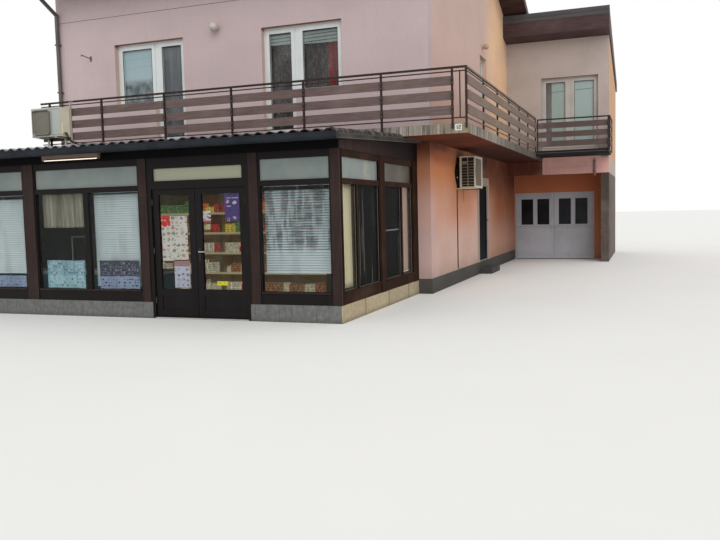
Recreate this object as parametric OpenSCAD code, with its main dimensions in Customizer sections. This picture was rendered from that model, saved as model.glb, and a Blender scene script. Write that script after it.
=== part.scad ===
// Corner shop building: a two-storey house with a glazed shop built out in front of it,
// an L-shaped balcony round its corner and a garage wing behind.
// X runs right along the street, Y back into the plot and Z up.
// The origin is on the ground at the foot of the shop's front right corner post.

/* [Shop front] */
// Width of the shop, from the party line to the corner post
shop_w = 8740; // [8200:10:9400]
// Depth of the shop, from its front to the front wall of the house
shop_d = 4157; // [3900:10:4600]
// Height of the tiled plinth
plinth_h = 270; // [200:5:320]
// Thickness of the plinth wall
plinth_t = 180; // [140:5:220]
// Thickness of the shop's wall at the party line
shop_wall_t = 200; // [150:5:250]
// How far the plinth stands proud of the posts
plinth_proud = 15; // [5:1:30]
// Depth of the posts and rails, front to back
post_d = 80; // [70:1:110]
// Width of the corner post
corner_post_w = 160; // [120:1:200]
// Width of the bay between the corner post and the door
bay_right_w = 1170; // [1000:10:1300]
// Width of the post right of the door
post_right_w = 214; // [150:1:260]
// Width of the door frame, over its jambs
door_frame_w = 1844; // [1700:2:2000]
// Width of the post left of the door
post_left_w = 212; // [150:1:260]
// Width of the double bay left of the door
bay_mid_w = 2147; // [1900:1:2300]
// Width of the post between the two double bays
post_mid_w = 293; // [200:1:340]
// Width of the post at the party line
post_end_w = 240; // [200:1:340]
// Width of the mullion in a double bay
mullion_w = 105; // [60:1:130]
// Height of the sill rail
sill_rail_h = 200; // [120:5:240]
// How far the heads of the large panes lie below the doorway's head
pane_drop = 14; // [0:1:60]
// Height of the bar between large panes and transom lights
bar_h = 90; // [60:1:120]
// Height of the transom lights
transom_h = 325; // [260:5:340]
// Height of the head rail over the transom lights
head_rail_h = 110; // [80:1:130]
// Thickness of the glass
glass_t = 10; // [6:1:16]
// How far the boards on the posts stand proud of the frames
cover_t = 15; // [10:1:20]
// Width of frame left bare beside a post's board
cover_margin = 28; // [15:1:35]
// How far the sill boards stand proud
sill_proud = 28; // [18:1:40]
// Thickness of the sill boards
sill_t = 26; // [18:1:40]
// Height of the blinds' lower edge above the sill
blind_rise = 280; // [0:10:500]
// Length of the short curtain in the middle bay
short_curtain_h = 590; // [300:10:900]

/* [Shop side] */
// Width of the corner post's side face
side_corner_w = 140; // [100:1:180]
// Width of the front bay on the side
side_bay_a_w = 1695; // [1500:5:1800]
// Width of the post between the side bays
side_post_w = 310; // [200:1:340]
// Width of the rear bay on the side
side_bay_b_w = 1670; // [1500:5:1700]
// Width of the sliding stile in a side bay
side_mullion_w = 70; // [50:1:90]
// Width of the light before the stile in the front bay on the side
side_light_a_w = 595; // [400:5:900]
// Width of the light before the stile in the rear bay on the side
side_light_b_w = 955; // [700:5:1100]

/* [Shop doors] */
// Width of each jamb of the door frame
jamb_w = 48; // [40:1:60]
// Height of the threshold
threshold_h = 25; // [15:1:40]
// Height of the leaves
leaf_h = 2092; // [2000:1:2110]
// Width of the left leaf as a share of the doorway
left_leaf_share = 0.465; // [0.4:0.005:0.6]
// Thickness of a leaf
leaf_t = 50; // [40:1:60]
// Width of the stiles of a leaf
stile_w = 115; // [90:1:130]
// Height of the bottom panel of a leaf
kick_panel_h = 456; // [300:2:600]
// Height of the door's transom light
door_light_h = 202; // [150:2:210]
// Height of the bar over the leaves
door_bar_h = 135; // [90:1:160]
// Gap round a leaf
leaf_gap = 6; // [6:1:9]
// Radius of a hinge knuckle
knuckle_r = 8; // [6:0.5:9]

/* [Shop roof] */
// Overhang of the front eave
eave_front = 400; // [300:5:450]
// Overhang of the side eave
eave_side = 130; // [90:5:150]
// Height of the dark fascia board
fascia_h = 115; // [90:1:125]
// Slope of the roof in degrees, rising to the house
shop_pitch = 3; // [2:0.1:3.4]
// Thickness of the roof deck
shop_deck_t = 60; // [40:1:80]
// Height of the wavy tiles over the roof deck
tile_wave_h = 50; // [30:1:60]
// Radius of the gutters' round bottom
gutter_r = 55; // [45:1:60]
// Height of the gutters' straight sides
gutter_rise = 50; // [30:1:60]
// Thickness of the gutter's metal
gutter_t = 4; // [3:0.5:6]

/* [House] */
// How far the house stands right of the shop
house_right = 283; // [200:1:400]
// Depth of the house, front wall to rear wall
house_d = 9033; // [8800:1:9600]
// Thickness of the outer walls
wall_t = 300; // [250:5:350]
// Height from the shop's eave to the ceiling of the house's ground floor
ceiling_over_eave = 275; // [260:5:320]
// Thickness of the upper floor
floor_t = 220; // [180:5:250]
// Height of the upper storey, from floor to floor
storey_h = 2990; // [2850:10:3100]
// Thickness of the attic floor
attic_t = 180; // [150:5:220]
// Height of the roof's underside over the attic floor, at the walls' outer faces
knee_h = 970; // [860:10:1160]
// Pitch of the main roof in degrees
roof_pitch = 20; // [16:1:25]
// Thickness of the main roof
roof_t = 170; // [140:5:220]
// Overhang of the main roof at the eaves
roof_eave = 700; // [500:10:800]
// Overhang of the main roof at the verge
roof_verge = 700; // [500:10:800]
// Thickness of the verge and eave boards
board_t = 25; // [18:1:35]
// Thickness of the boarded soffit under the verge
soffit_t = 20; // [15:1:30]
// Height of the grey base course
base_h = 300; // [250:5:320]
// How far the base course stands proud
base_proud = 15; // [8:1:30]

/* [Upper windows] */
// Width of a balcony window with its door
unit_w = 1825; // [1700:5:1900]
// Left edge of the right unit, from the house's right corner
unit_a_from_right = 3641; // [3500:1:3800]
// Distance between the two units
unit_pitch = 3765; // [3600:1:3900]
// Height of the window and door heads over the upper floor
head_h = 2356; // [2250:1:2450]
// Height of the windows' sill over the upper floor
sill_h = 910; // [750:5:1050]
// Height of the balcony doors' sill over the upper floor
door_sill_h = 80; // [50:5:110]
// Width of a frame with its sash
sash_w = 130; // [100:1:150]
// Width of the middle bars between window and door
sash_mid_w = 270; // [220:1:300]
// Width of the door's glass
door_glass_w = 505; // [450:1:560]
// Depth of the window frames
sash_d = 70; // [60:1:90]
// Width of the bare frame round a sash
frame_w = 48; // [35:1:60]
// How far the sashes stand proud of their frames
sash_proud = 16; // [8:1:25]
// Depth of the reveals in front of the frames
reveal_d = 130; // [80:5:160]
// Width of the side window
side_window_w = 850; // [700:10:1000]
// Distance of the side window from the front wall's face
side_window_y = 5013; // [4800:1:5200]
// Height of the side window
side_window_h = 1340; // [1200:5:1400]

/* [Side door] */
// Distance of the side door from the front wall's face
side_door_y = 4643; // [4500:1:4900]
// Width of the side door's opening
side_door_w = 1150; // [1050:5:1200]
// Height of the side door's opening above the base course
side_door_h = 2020; // [1950:5:2100]
// Width of the side door's frame
side_jamb_w = 65; // [50:1:80]
// Depth of the side door's reveal
side_reveal_d = 6; // [4:1:120]
// Width of the white surround on the wall round the side door
side_trim_w = 150; // [80:5:180]

/* [Balcony] */
// How far the balcony reaches in front of the house
balcony_front = 1320; // [1200:5:1400]
// How far the balcony reaches beside the house
balcony_side = 1060; // [900:5:1200]
// Left end of the balcony, from the house's right corner
balcony_w = 8383; // [8000:1:8600]
// Thickness of the balcony slab
balcony_t = 176; // [150:1:200]
// Depth of the rear balcony, in front of the wing
rear_balcony_d = 1390; // [1200:5:1500]
// Thickness of the rear balcony's slab
rear_balcony_t = 120; // [100:1:150]
// Height of the handrail's top above the slab
rail_h = 994; // [950:1:1050]
// Size of the handrail and the posts
rail_s = 36; // [30:1:45]
// Height of a rail board
rail_board_h = 160; // [140:1:170]
// Pitch of the rail boards
rail_board_pitch = 257; // [240:1:270]
// Thickness of a rail board
rail_board_t = 24; // [18:1:30]
// Distance between railing posts
post_pitch = 1560; // [1400:10:1800]
// Distance from the post beside the corner to the next post of the front railing
first_pitch = 1327; // [1200:1:1500]

/* [Wing] */
// How far the wing reaches right of the house
wing_right = 2975; // [2900:1:3200]
// Width of the wing hidden behind the house
wing_left = 3483; // [3000:1:4000]
// Depth of the wing
wing_d = 5010; // [4500:10:5500]
// Thickness of the wing's side walls
wing_wall_t = 225; // [200:5:300]
// Depth of the porch in front of the garage
porch_d = 1210; // [1150:5:1400]
// Height of the porch, under its beam
porch_h = 2640; // [2550:5:2700]
// Height of the wing's walls at the front over the upper floor
wing_wall_h = 3350; // [3200:10:3450]
// Pitch of the wing's roof in degrees, falling to the rear
wing_pitch = 10; // [5:1:12]
// Thickness of the wing's roof
wing_roof_t = 200; // [150:5:250]
// Overhang of the wing's roof at the front
wing_eave = 540; // [400:5:600]
// Overhang of the wing's roof at the left and the rear
wing_verge = 250; // [150:5:350]
// Overhang of the wing's roof at the right
wing_right_verge = 12; // [5:1:100]
// Height of the wing's brown fascia board
wing_fascia_h = 320; // [250:5:400]
// Height of the metal band over the fascia board
wing_band_h = 230; // [150:5:280]
// Left edge of the balcony doors, from the house's right corner
wing_door_x = 1037; // [950:1:1100]
// Width of the balcony doors
wing_door_w = 1635; // [1500:5:1700]
// Height of the wing's balcony doors over the upper floor
wing_door_h = 2257; // [2150:1:2350]

/* [Garage doors] */
// Gap between the house's corner line and the garage opening
garage_x = 40; // [40:1:100]
// Width of the garage opening
garage_w = 2440; // [2300:10:2500]
// Height of the garage opening
garage_h = 2110; // [2050:5:2200]
// Width of the garage door's frame
garage_jamb_w = 45; // [35:1:60]
// Thickness of the garage leaves
garage_leaf_t = 45; // [40:1:55]
// Height of the garage panes' sill
garage_pane_z = 1100; // [1000:5:1200]
// Height of the garage panes
garage_pane_h = 820; // [700:5:860]
// Width of the stiles of a garage leaf
garage_stile_w = 140; // [100:5:160]
// Width of the bar between the panes of a garage leaf
garage_bar_w = 125; // [60:5:140]

/* [Fittings] */
// Width, depth and height of the front outdoor unit
unit_front = [760, 310, 610]; // [300:10:900]
// Width, depth and height of the side outdoor unit
unit_side = [820, 350, 710]; // [300:10:900]
// Left edge of the front outdoor unit, from the balcony's left end
unit_front_x = 20; // [0:5:100]
// Distance of the side outdoor unit from the front wall's face
unit_side_y = 2240; // [2000:10:2500]
// Gap between the side outdoor unit and the wall
unit_wall_gap = 75; // [60:5:150]
// Width of a bracket's steel
bracket_w = 30; // [20:1:40]
// Length of an eave lamp
lamp_l = 1170; // [1000:10:1300]
// Height of the door handles
handle_z = 1050; // [950:10:1150]
// Radius of the globe lamp
globe_r = 100; // [80:1:120]
// Height of the globe lamp over the window heads
globe_rise = 109; // [60:1:200]
// Height of the shop's shelves
shelf_h = 2075; // [1800:5:2200]
// Depth of the shop's shelves
shelf_d = 400; // [300:10:500]
// Distance of the shelves from the shop front
shelf_y = 2600; // [2400:10:3000]
// Number of shelves
shelf_n = 5; // [4:1:6]

/* [Hidden] */
$fn = 32;
eps = 1;
seat = 0.3;

// Levels of the shop front
sill_top = plinth_h + sill_rail_h;
doorway_top = threshold_h + leaf_gap + leaf_h + leaf_gap;
pane_top = doorway_top - pane_drop;
transom_bottom = pane_top + bar_h;
transom_top = transom_bottom + transom_h;
frame_top = transom_top + head_rail_h;
eave_z = frame_top + fascia_h;
ceiling_z = eave_z + ceiling_over_eave;
upper_z = ceiling_z + floor_t;
attic_z = upper_z + storey_h;
roof_spring_z = attic_z + knee_h;
head_z = upper_z + head_h;
sill_z = upper_z + sill_h;
door_sill_z = upper_z + door_sill_h;
wing_z = upper_z + wing_wall_h;
wing_door_head_z = upper_z + wing_door_h;

// Places along the shop front, from the corner leftwards
bay_right_x = -corner_post_w - bay_right_w;
door_frame_x1 = bay_right_x - post_right_w;
door_frame_x0 = door_frame_x1 - door_frame_w;
bay_mid_x1 = door_frame_x0 - post_left_w;
bay_mid_x0 = bay_mid_x1 - bay_mid_w;
bay_left_x1 = bay_mid_x0 - post_mid_w;
bay_left_x0 = -shop_w + post_end_w;
side_bay_b_y = side_corner_w + side_bay_a_w + side_post_w;

// Doorway of the shop
doorway_x0 = door_frame_x0 + jamb_w;
doorway_x1 = door_frame_x1 - jamb_w;
door_light_z = doorway_top + door_bar_h;
leaf_y = post_d - leaf_t;
leaf_z = threshold_h + leaf_gap + 2;
left_leaf_w = (doorway_x1 - doorway_x0) * left_leaf_share - 1.5 * leaf_gap;
right_leaf_w = doorway_x1 - doorway_x0 - left_leaf_w - 3 * leaf_gap - 2;
pane_z = leaf_z + kick_panel_h;
pane_head = leaf_z + leaf_h - stile_w * 0.75;
kick_sunk = leaf_t / 4;

// Roof of the shop
shop_slope = tan(shop_pitch);
shop_eave_top = eave_z + soffit_t + shop_deck_t;

// House
front_y = shop_d;
rear_y = shop_d + house_d;
ridge_y = (front_y + rear_y) / 2;
house_x0 = -shop_w;
house_x1 = house_right;
inner_x1 = house_x1 - wall_t;
slope = tan(roof_pitch);
verge_x = house_x1 + roof_verge;
side_door_y0 = front_y + side_door_y;
side_door_y1 = side_door_y0 + side_door_w;
side_door_top = base_h + side_door_h;
side_window_y0 = front_y + side_window_y;

// Balcony
balcony_y = front_y - balcony_front;
balcony_x0 = house_x1 - balcony_w;
balcony_x1 = house_x1 + balcony_side;
balcony_top = ceiling_z + balcony_t;
rear_balcony_y = rear_y - rear_balcony_d;
rear_step = 54;
rear_balcony_over = 62;
rear_balcony_top = balcony_top + rear_step;
rail_top = balcony_top + rail_h;

// Wing
wing_x1 = house_x1 + wing_right;
rear_end_x = wing_x1 + rear_balcony_over;
wing_x0 = house_x1 - wing_left;
wing_y1 = rear_y + wing_d;
garage_y = rear_y + porch_d;
wing_slope = tan(wing_pitch);
wing_fascia_drop = 75;
fascia_z = wing_z + wing_eave * wing_slope + wing_fascia_drop;
garage_x0 = house_x1 + garage_x;
garage_x1 = garage_x0 + garage_w;

// Underside of the main roof at a depth y
function roof_z(y) = roof_spring_z + min(y - front_y, rear_y - y) * slope;
// Top of the house's walls at a depth y, a hair under the roof
function wall_top(y) = roof_z(y) - seat;
// Underside of the wing's roof at a depth y
function wing_roof_z(y) = wing_z - (y - rear_y) * wing_slope;
// Top of the wing's walls at a depth y
function wing_wall_top(y) = wing_roof_z(y) - seat;
// Slope of the shop's roof at a depth y, its top, which stays under the balcony, and its boarding
function shop_roof_z(y) = shop_eave_top + (y + eave_front) * shop_slope;
function shop_top(y) = min(shop_roof_z(y), ceiling_z - seat);
function shop_soffit(y) = shop_roof_z(y) - shop_deck_t - soffit_t;

// A block between two corners
module block(a, b) translate(a) cube(b - a);
// A shape drawn in Y and Z and drawn out along X
module along_x(x0, x1, pts)
  translate([x0, 0, 0]) rotate([90, 0, 90]) linear_extrude(x1 - x0) polygon(pts);
// A panel standing in X and Z with holes, each hole as [x0, z0, x1, z1]
module pierced_xz(x0, x1, z0, z1, y, t, holes)
  translate([0, y + t, 0]) rotate([90, 0, 0]) linear_extrude(t) difference() {
    translate([x0, z0]) square([x1 - x0, z1 - z0]);
    for (h = holes) translate([h[0], h[1]]) square([h[2] - h[0], h[3] - h[1]]);
  }
// A panel standing in Y and Z with holes, each hole as [y0, z0, y1, z1]
module pierced_yz(y0, y1, z0, z1, x, t, holes)
  translate([x, 0, 0]) rotate([90, 0, 90]) linear_extrude(t) difference() {
    translate([y0, z0]) square([y1 - y0, z1 - z0]);
    for (h = holes) translate([h[0], h[1]]) square([h[2] - h[0], h[3] - h[1]]);
  }

// Bays of the front: [left, right, has a mullion]
front_bays = [[bay_right_x, -corner_post_w, false], [bay_mid_x0, bay_mid_x1, true],
  [bay_left_x0, bay_left_x1, true]];
// Bays of the side: [front, rear, width of the light before the stile]
side_bays = [[side_corner_w, side_corner_w + side_bay_a_w, side_light_a_w],
  [side_bay_b_y, side_bay_b_y + side_bay_b_w, side_light_b_w]];
// Lights of a bay: one, or two beside a mullion or a stile
function lights(b) = let (m = (b[0] + b[1]) / 2) b[2]
  ? [[b[0], m - mullion_w / 2], [m + mullion_w / 2, b[1]]] : [[b[0], b[1]]];
function side_lights(b) = [[b[0], b[0] + b[2]], [b[0] + b[2] + side_mullion_w, b[1]]];
front_lights = [for (b = front_bays, l = lights(b)) l];
all_side_lights = [for (b = side_bays, l = side_lights(b)) l];

// Shop

module shop_plinth() {
  color("darkgray") {
    difference() {
      block([-shop_w, -plinth_proud, 0], [plinth_proud, plinth_t, plinth_h]);
      block([door_frame_x0, -plinth_proud - eps, -eps], [door_frame_x1, plinth_t + eps, plinth_h + eps]);
    }
    block([-plinth_t, plinth_t, 0], [plinth_proud, shop_d, plinth_h]);
  }
}

// Posts of the front, left and right of the door: [left, right]
front_posts_left = [[-shop_w, bay_left_x0], [bay_left_x1, bay_mid_x0], [bay_mid_x1, door_frame_x0]];
front_posts_right = [[door_frame_x1, bay_right_x]];
side_posts = [[side_corner_w + side_bay_a_w, side_bay_b_y], [side_bay_b_y + side_bay_b_w, shop_d]];

// Boards on the posts and sill boards in the bays of a front
module front_boards(posts, bays) {
  for (p = posts)
    block([p[0] + (p[0] > -shop_w ? cover_margin : 0), -cover_t, plinth_h], [p[1] - cover_margin, 0,
      frame_top]);
  for (b = bays) block([b[0], -sill_proud, sill_top - sill_t], [b[1], 0, sill_top]);
}

module shop_front_frame() {
  color("saddlebrown") {
    pierced_xz(-shop_w, door_frame_x0, plinth_h, frame_top, 0, post_d,
      concat([for (l = front_lights) if (l[1] < door_frame_x0) [l[0], sill_top, l[1], pane_top]],
        [for (b = front_bays) if (b[1] < door_frame_x0) [b[0], transom_bottom, b[1], transom_top]]));
    front_boards(front_posts_left, [for (b = front_bays) if (b[1] < door_frame_x0) b]);
    pierced_xz(door_frame_x1, 0, plinth_h, frame_top, 0, post_d,
      concat([for (l = front_lights) if (l[0] > door_frame_x1) [l[0], sill_top, l[1], pane_top]],
        [for (b = front_bays) if (b[0] > door_frame_x1) [b[0], transom_bottom, b[1], transom_top]]));
    front_boards(front_posts_right, [for (b = front_bays) if (b[0] > door_frame_x1) b]);
    block([-corner_post_w + cover_margin, -cover_t, plinth_h], [cover_t, 0, frame_top]);
  }
}

module shop_side_frame() {
  color("sienna") {
    pierced_yz(post_d, shop_d, plinth_h, frame_top, -post_d, post_d,
      concat([for (l = all_side_lights) [l[0], sill_top, l[1], pane_top]],
        [for (b = side_bays) [b[0], transom_bottom, b[1], transom_top]]));
    for (p = side_posts)
      block([0, p[0] + cover_margin, plinth_h], [cover_t, p[1] - (p[1] < shop_d ? cover_margin : 0),
        frame_top]);
    block([0, post_d, plinth_h], [cover_t, side_corner_w - cover_margin, frame_top]);
    for (b = side_bays) block([0, b[0], sill_top - sill_t], [sill_proud, b[1], sill_top]);
  }
}

module shop_door_frame() {
  color("saddlebrown") {
    difference() {
      block([door_frame_x0, 0, 0], [door_frame_x1, post_d, frame_top]);
      block([doorway_x0, -eps, threshold_h], [doorway_x1, post_d + eps, doorway_top]);
      block([doorway_x0 + jamb_w, -eps, door_light_z],
        [doorway_x1 - jamb_w, post_d + eps, door_light_z + door_light_h]);
    }
    frame_knuckles(doorway_x0, 1);
    frame_knuckles(doorway_x1, -1);
  }
}

// Hinges: the axis stands in the gap beside the leaf, just off its inner face
knuckle_h = 70;
flap_w = 36;
flap_t = 3;
axis_off = knuckle_r + 1;
hinge_zs = [0.12, 0.5, 0.88];

// Knuckle and flap of one hinge, s points from the axis to the piece that carries it
module hinge_part(x, y, z, h, s, inward) {
  translate([x, y, z]) cylinder(r = knuckle_r, h = h);
  translate([min(x, x + s * flap_w), inward > 0 ? y - axis_off : y + axis_off - flap_t, z])
    cube([flap_w, flap_t, h]);
}
// Leaf knuckles for a leaf in X, whose edge stands at x and which lies on side s of it
module leaf_knuckles(x, s, y, z, h, inward)
  for (k = hinge_zs)
    hinge_part(x - s * leaf_gap / 2, y, z + h * k, knuckle_h, s, inward);
// Frame knuckles over and under each leaf knuckle
module frame_knuckles(x, s)
  for (k = hinge_zs, up = [0, 1])
    hinge_part(x + s * leaf_gap / 2, post_d + axis_off,
      leaf_z + leaf_h * k + (up == 1 ? knuckle_h + seat : -knuckle_h / 2 - seat), knuckle_h / 2, -s, 1);

// A glazed leaf with two sunk kick panels, lying from x to x + w
module shop_leaf(x, w) {
  difference() {
    block([x, leaf_y, leaf_z], [x + w, post_d, leaf_z + leaf_h]);
    block([x + stile_w, leaf_y - eps, pane_z], [x + w - stile_w, post_d + eps, pane_head]);
    for (side = [leaf_y - eps, post_d - kick_sunk])
      block([x + stile_w, side, leaf_z + stile_w],
        [x + w - stile_w, side + kick_sunk + eps, pane_z - stile_w]);
  }
}
module shop_leaf_glass(x, w)
  block([x + stile_w, leaf_y + (leaf_t - glass_t) / 2, pane_z],
    [x + w - stile_w, leaf_y + (leaf_t + glass_t) / 2, pane_head]);

left_leaf_x = doorway_x0 + leaf_gap;
right_leaf_x = doorway_x1 - leaf_gap - right_leaf_w;

module shop_door_left() {
  color("saddlebrown") {
    shop_leaf(left_leaf_x, left_leaf_w);
    leaf_knuckles(left_leaf_x, 1, post_d + axis_off, leaf_z, leaf_h, 1);
  }
}
module shop_door_left_glass() color("lightblue", 0.4) shop_leaf_glass(left_leaf_x, left_leaf_w);

module shop_door_right() {
  color("saddlebrown") {
    shop_leaf(right_leaf_x, right_leaf_w);
    leaf_knuckles(right_leaf_x + right_leaf_w, -1, post_d + axis_off, leaf_z, leaf_h, 1);
  }
}
module shop_door_right_glass() color("lightblue", 0.4) shop_leaf_glass(right_leaf_x, right_leaf_w);

// Lever handles on both faces of the right leaf
module lever(x, y, out) {
  plate = [34, 8, 210];
  translate([x - plate[0] / 2, out < 0 ? y - plate[1] : y, handle_z - plate[2] / 2]) cube(plate);
  translate([x, y, handle_z + plate[2] / 4]) rotate([out < 0 ? 90 : -90, 0, 0]) cylinder(r = 9, h = 45);
  translate([x, y + out * 45, handle_z + plate[2] / 4]) rotate([0, 90, 0]) cylinder(r = 9, h = 120);
}
module shop_door_handle() {
  color("silver") {
    lever(right_leaf_x + stile_w / 2, leaf_y, -1);
    lever(right_leaf_x + stile_w / 2, post_d, 1);
  }
}

module shop_glass() {
  color("lightblue", 0.4) {
    for (l = front_lights)
      block([l[0], (post_d - glass_t) / 2, sill_top], [l[1], (post_d + glass_t) / 2, pane_top]);
    for (l = all_side_lights)
      block([-(post_d + glass_t) / 2, l[0], sill_top], [-(post_d - glass_t) / 2, l[1], pane_top]);
  }
}

module shop_transom_lights() {
  color("gainsboro") {
    for (b = front_bays)
      block([b[0], (post_d - glass_t) / 2, transom_bottom], [b[1], (post_d + glass_t) / 2, transom_top]);
    for (b = side_bays)
      block([-(post_d + glass_t) / 2, b[0], transom_bottom], [-(post_d - glass_t) / 2, b[1], transom_top]);
    block([doorway_x0 + jamb_w, (post_d - glass_t) / 2, door_light_z],
      [doorway_x1 - jamb_w, (post_d + glass_t) / 2, door_light_z + door_light_h]);
  }
}

// Dark boards from the frames up to the roof, and the boarding that follows the roof's slope
module shop_fascia() {
  color("black") {
    block([-shop_w, -cover_t, frame_top], [cover_t, post_d, shop_soffit(post_d) + soffit_t / 4]);
    along_x(-post_d, cover_t, [[post_d / 2, frame_top], [shop_d, frame_top],
      [shop_d, shop_soffit(shop_d) + soffit_t / 4], [post_d / 2, shop_soffit(post_d / 2) + soffit_t / 4]]);
    along_x(-shop_w, eave_side, [[-eave_front, shop_soffit(-eave_front)], [shop_d, shop_soffit(shop_d)],
      [shop_d, shop_soffit(shop_d) + soffit_t], [-eave_front, shop_soffit(-eave_front) + soffit_t]]);
  }
}

// Lean-to roof that rises to the house: the deck passes under the balcony, its tiles stop before it
cover_y = (ceiling_z - seat - shop_eave_top) / shop_slope - eave_front;
tile_inset = 15;
module shop_roof() {
  y1 = min(cover_y, shop_d);
  tiles_y = balcony_y - seat;
  color("dimgray") {
    along_x(-shop_w, eave_side, concat([[-eave_front, shop_soffit(-eave_front) + soffit_t],
      [shop_d, shop_soffit(shop_d) + soffit_t], [shop_d, shop_top(shop_d)]],
      y1 < shop_d ? [[y1, shop_top(shop_d)]] : [], [[-eave_front, shop_eave_top]]));
    along_x(-shop_w, eave_side - tile_inset, [[-eave_front, shop_eave_top - shop_deck_t / 2],
      [tiles_y, shop_roof_z(tiles_y) - shop_deck_t / 2], [tiles_y, shop_roof_z(tiles_y) + tile_wave_h],
      [-eave_front, shop_eave_top + tile_wave_h]]);
  }
}

// Gutter section: a round bottom, straight sides and a bead along the outer lip
bead_r = 8;
module gutter_section(r, lip) {
  difference() {
    union() {
      circle(r = r);
      translate([-r, 0]) square([2 * r, gutter_rise]);
    }
    circle(r = r - gutter_t);
    translate([-r + gutter_t, 0]) square([2 * (r - gutter_t), gutter_rise + eps]);
  }
  translate([lip * (r - gutter_t / 2), gutter_rise]) circle(r = bead_r, $fn = 16);
}
// A length of gutter along X, and its two stop ends
module gutter_run(length, lip) {
  rotate([90, 0, 90]) linear_extrude(length) gutter_section(gutter_r, lip);
  for (x = [0, length - gutter_t]) translate([x, 0, 0]) rotate([90, 0, 90]) linear_extrude(gutter_t) {
    circle(r = gutter_r + stop_over);
    translate([-gutter_r - stop_over, 0]) square([2 * (gutter_r + stop_over), gutter_rise - bead_r]);
  }
}

gutter_z = eave_z + soffit_t + gutter_r / 4;
stop_over = 2;
gutter_off = gutter_r + stop_over + seat;
verge_t = 8;
verge_rib = 12;
// An edge that follows the roof's slope at a height over its boarding, and turns level at cap
function verge_edge(h, cap) =
  let (y1 = shop_d - seat, z0 = shop_soffit(-eave_front) + h, turn = (cap - z0) / shop_slope - eave_front)
    concat([[-eave_front, z0]], turn < y1 ? [[turn, cap]] : [], [[y1, min(shop_soffit(y1) + h, cap)]]);
// A strip of sheet metal along the side edge of the roof, between two heights over its boarding
module verge_strip(x1, low, high) {
  upper = verge_edge(high, ceiling_z - seat);
  along_x(eave_side + seat, x1, concat(verge_edge(low, ceiling_z - seat - verge_rib),
    [for (k = [1 : len(upper)]) upper[len(upper) - k]]));
}

// Gutter of the front eave, and the folded metal strip on the side edge of the roof
module shop_gutter() {
  strip_h = shop_deck_t + soffit_t;
  color("slategray") {
    translate([-shop_w, -eave_front - gutter_off, gutter_z]) gutter_run(shop_w + eave_side + gutter_r, -1);
    verge_strip(eave_side + verge_t, 0, strip_h);
    verge_strip(eave_side + verge_t + verge_rib / 2, 0, verge_rib);
    verge_strip(eave_side + verge_t + verge_rib / 2, strip_h - verge_rib, strip_h);
  }
}

module shop_left_wall() {
  color("rosybrown")
    along_x(-shop_w, -shop_w + shop_wall_t, [[plinth_t, 0], [shop_d, 0], [shop_d,
      shop_soffit(shop_d) - seat],
      [post_d, shop_soffit(post_d) - seat], [post_d, plinth_h], [plinth_t, plinth_h]]);
}

// Blinds and curtains hang a hand behind the glass, from head rails on the frames
blind_t = 20;
blind_gap = 60;
head_box_h = 45;
corner_clear = -post_d - blind_gap - 2 * blind_t - leaf_gap;
// One hanging in front of a light of the front, t thick, down to z0
module front_hanging(l, t, z0) {
  x1 = min(l[1], corner_clear);
  block([l[0], post_d + blind_gap, z0], [x1, post_d + blind_gap + t, pane_top + head_box_h]);
  block([l[0], post_d, pane_top], [x1, post_d + blind_gap + t, pane_top + head_box_h]);
}
// One hanging in front of a light of the side
module side_hanging(l, t) {
  x = -post_d - blind_gap;
  block([x - t, l[0], sill_top], [x, l[1], pane_top + head_box_h]);
  block([x - t, l[0], pane_top], [-post_d, l[1], pane_top + head_box_h]);
}

module shop_blinds() {
  color("whitesmoke") {
    for (k = [0, 2, 3, 4]) front_hanging(front_lights[k], blind_t, sill_top + blind_rise);
    side_hanging(all_side_lights[3], blind_t);
  }
}

module shop_curtains() {
  color("beige") {
    front_hanging(front_lights[1], 2 * blind_t, pane_top - short_curtain_h);
    side_hanging(all_side_lights[0], 2 * blind_t);
  }
}

// A rack of shelves facing the doors
shelf_over = 200;
shelf_x0 = door_frame_x0 - shelf_over;
shelf_x1 = door_frame_x1 + shelf_over;
shelf_board_t = 25;
shelf_foot_h = 100;
shelf_pitch = (shelf_h - shelf_foot_h) / shelf_n;
module shop_shelves() {
  color("burlywood") {
    difference() {
      block([shelf_x0, shelf_y, threshold_h], [shelf_x1, shelf_y + shelf_d, threshold_h + shelf_h]);
      for (k = [0 : shelf_n - 1])
        block([shelf_x0 + shelf_board_t, shelf_y - eps, threshold_h + shelf_foot_h + k * shelf_pitch],
          [shelf_x1 - shelf_board_t, shelf_y + shelf_d - shelf_board_t,
            threshold_h + shelf_foot_h + (k + 1) * shelf_pitch - shelf_board_t]);
    }
  }
}

// Lamps under the front eave, one over each double bay: a housing, two sockets and the tube
lamp_s = 70;
lamp_h = 60;
lamp_shift = 90;
tube_r = 14;
socket_t = 30;
socket_h = 37;
module eave_lamps() {
  color("white")
    for (b = [front_bays[1], front_bays[2]])
      translate([(b[0] + b[1]) / 2 - lamp_shift - lamp_l / 2, -(eave_front + lamp_s) / 2,
        shop_soffit(-(eave_front + lamp_s) / 2) - seat]) {
        translate([0, 0, -lamp_h]) cube([lamp_l, lamp_s, lamp_h]);
        translate([socket_t, lamp_s / 2, -lamp_h - socket_h / 2])
          rotate([0, 90, 0]) cylinder(r = tube_r, h = lamp_l - 2 * socket_t);
        for (x = [0, lamp_l - socket_t]) translate([x, lamp_s / 7, -lamp_h - socket_h])
          cube([socket_t, lamp_s * 5 / 7, socket_h]);
      }
}

// House

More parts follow.
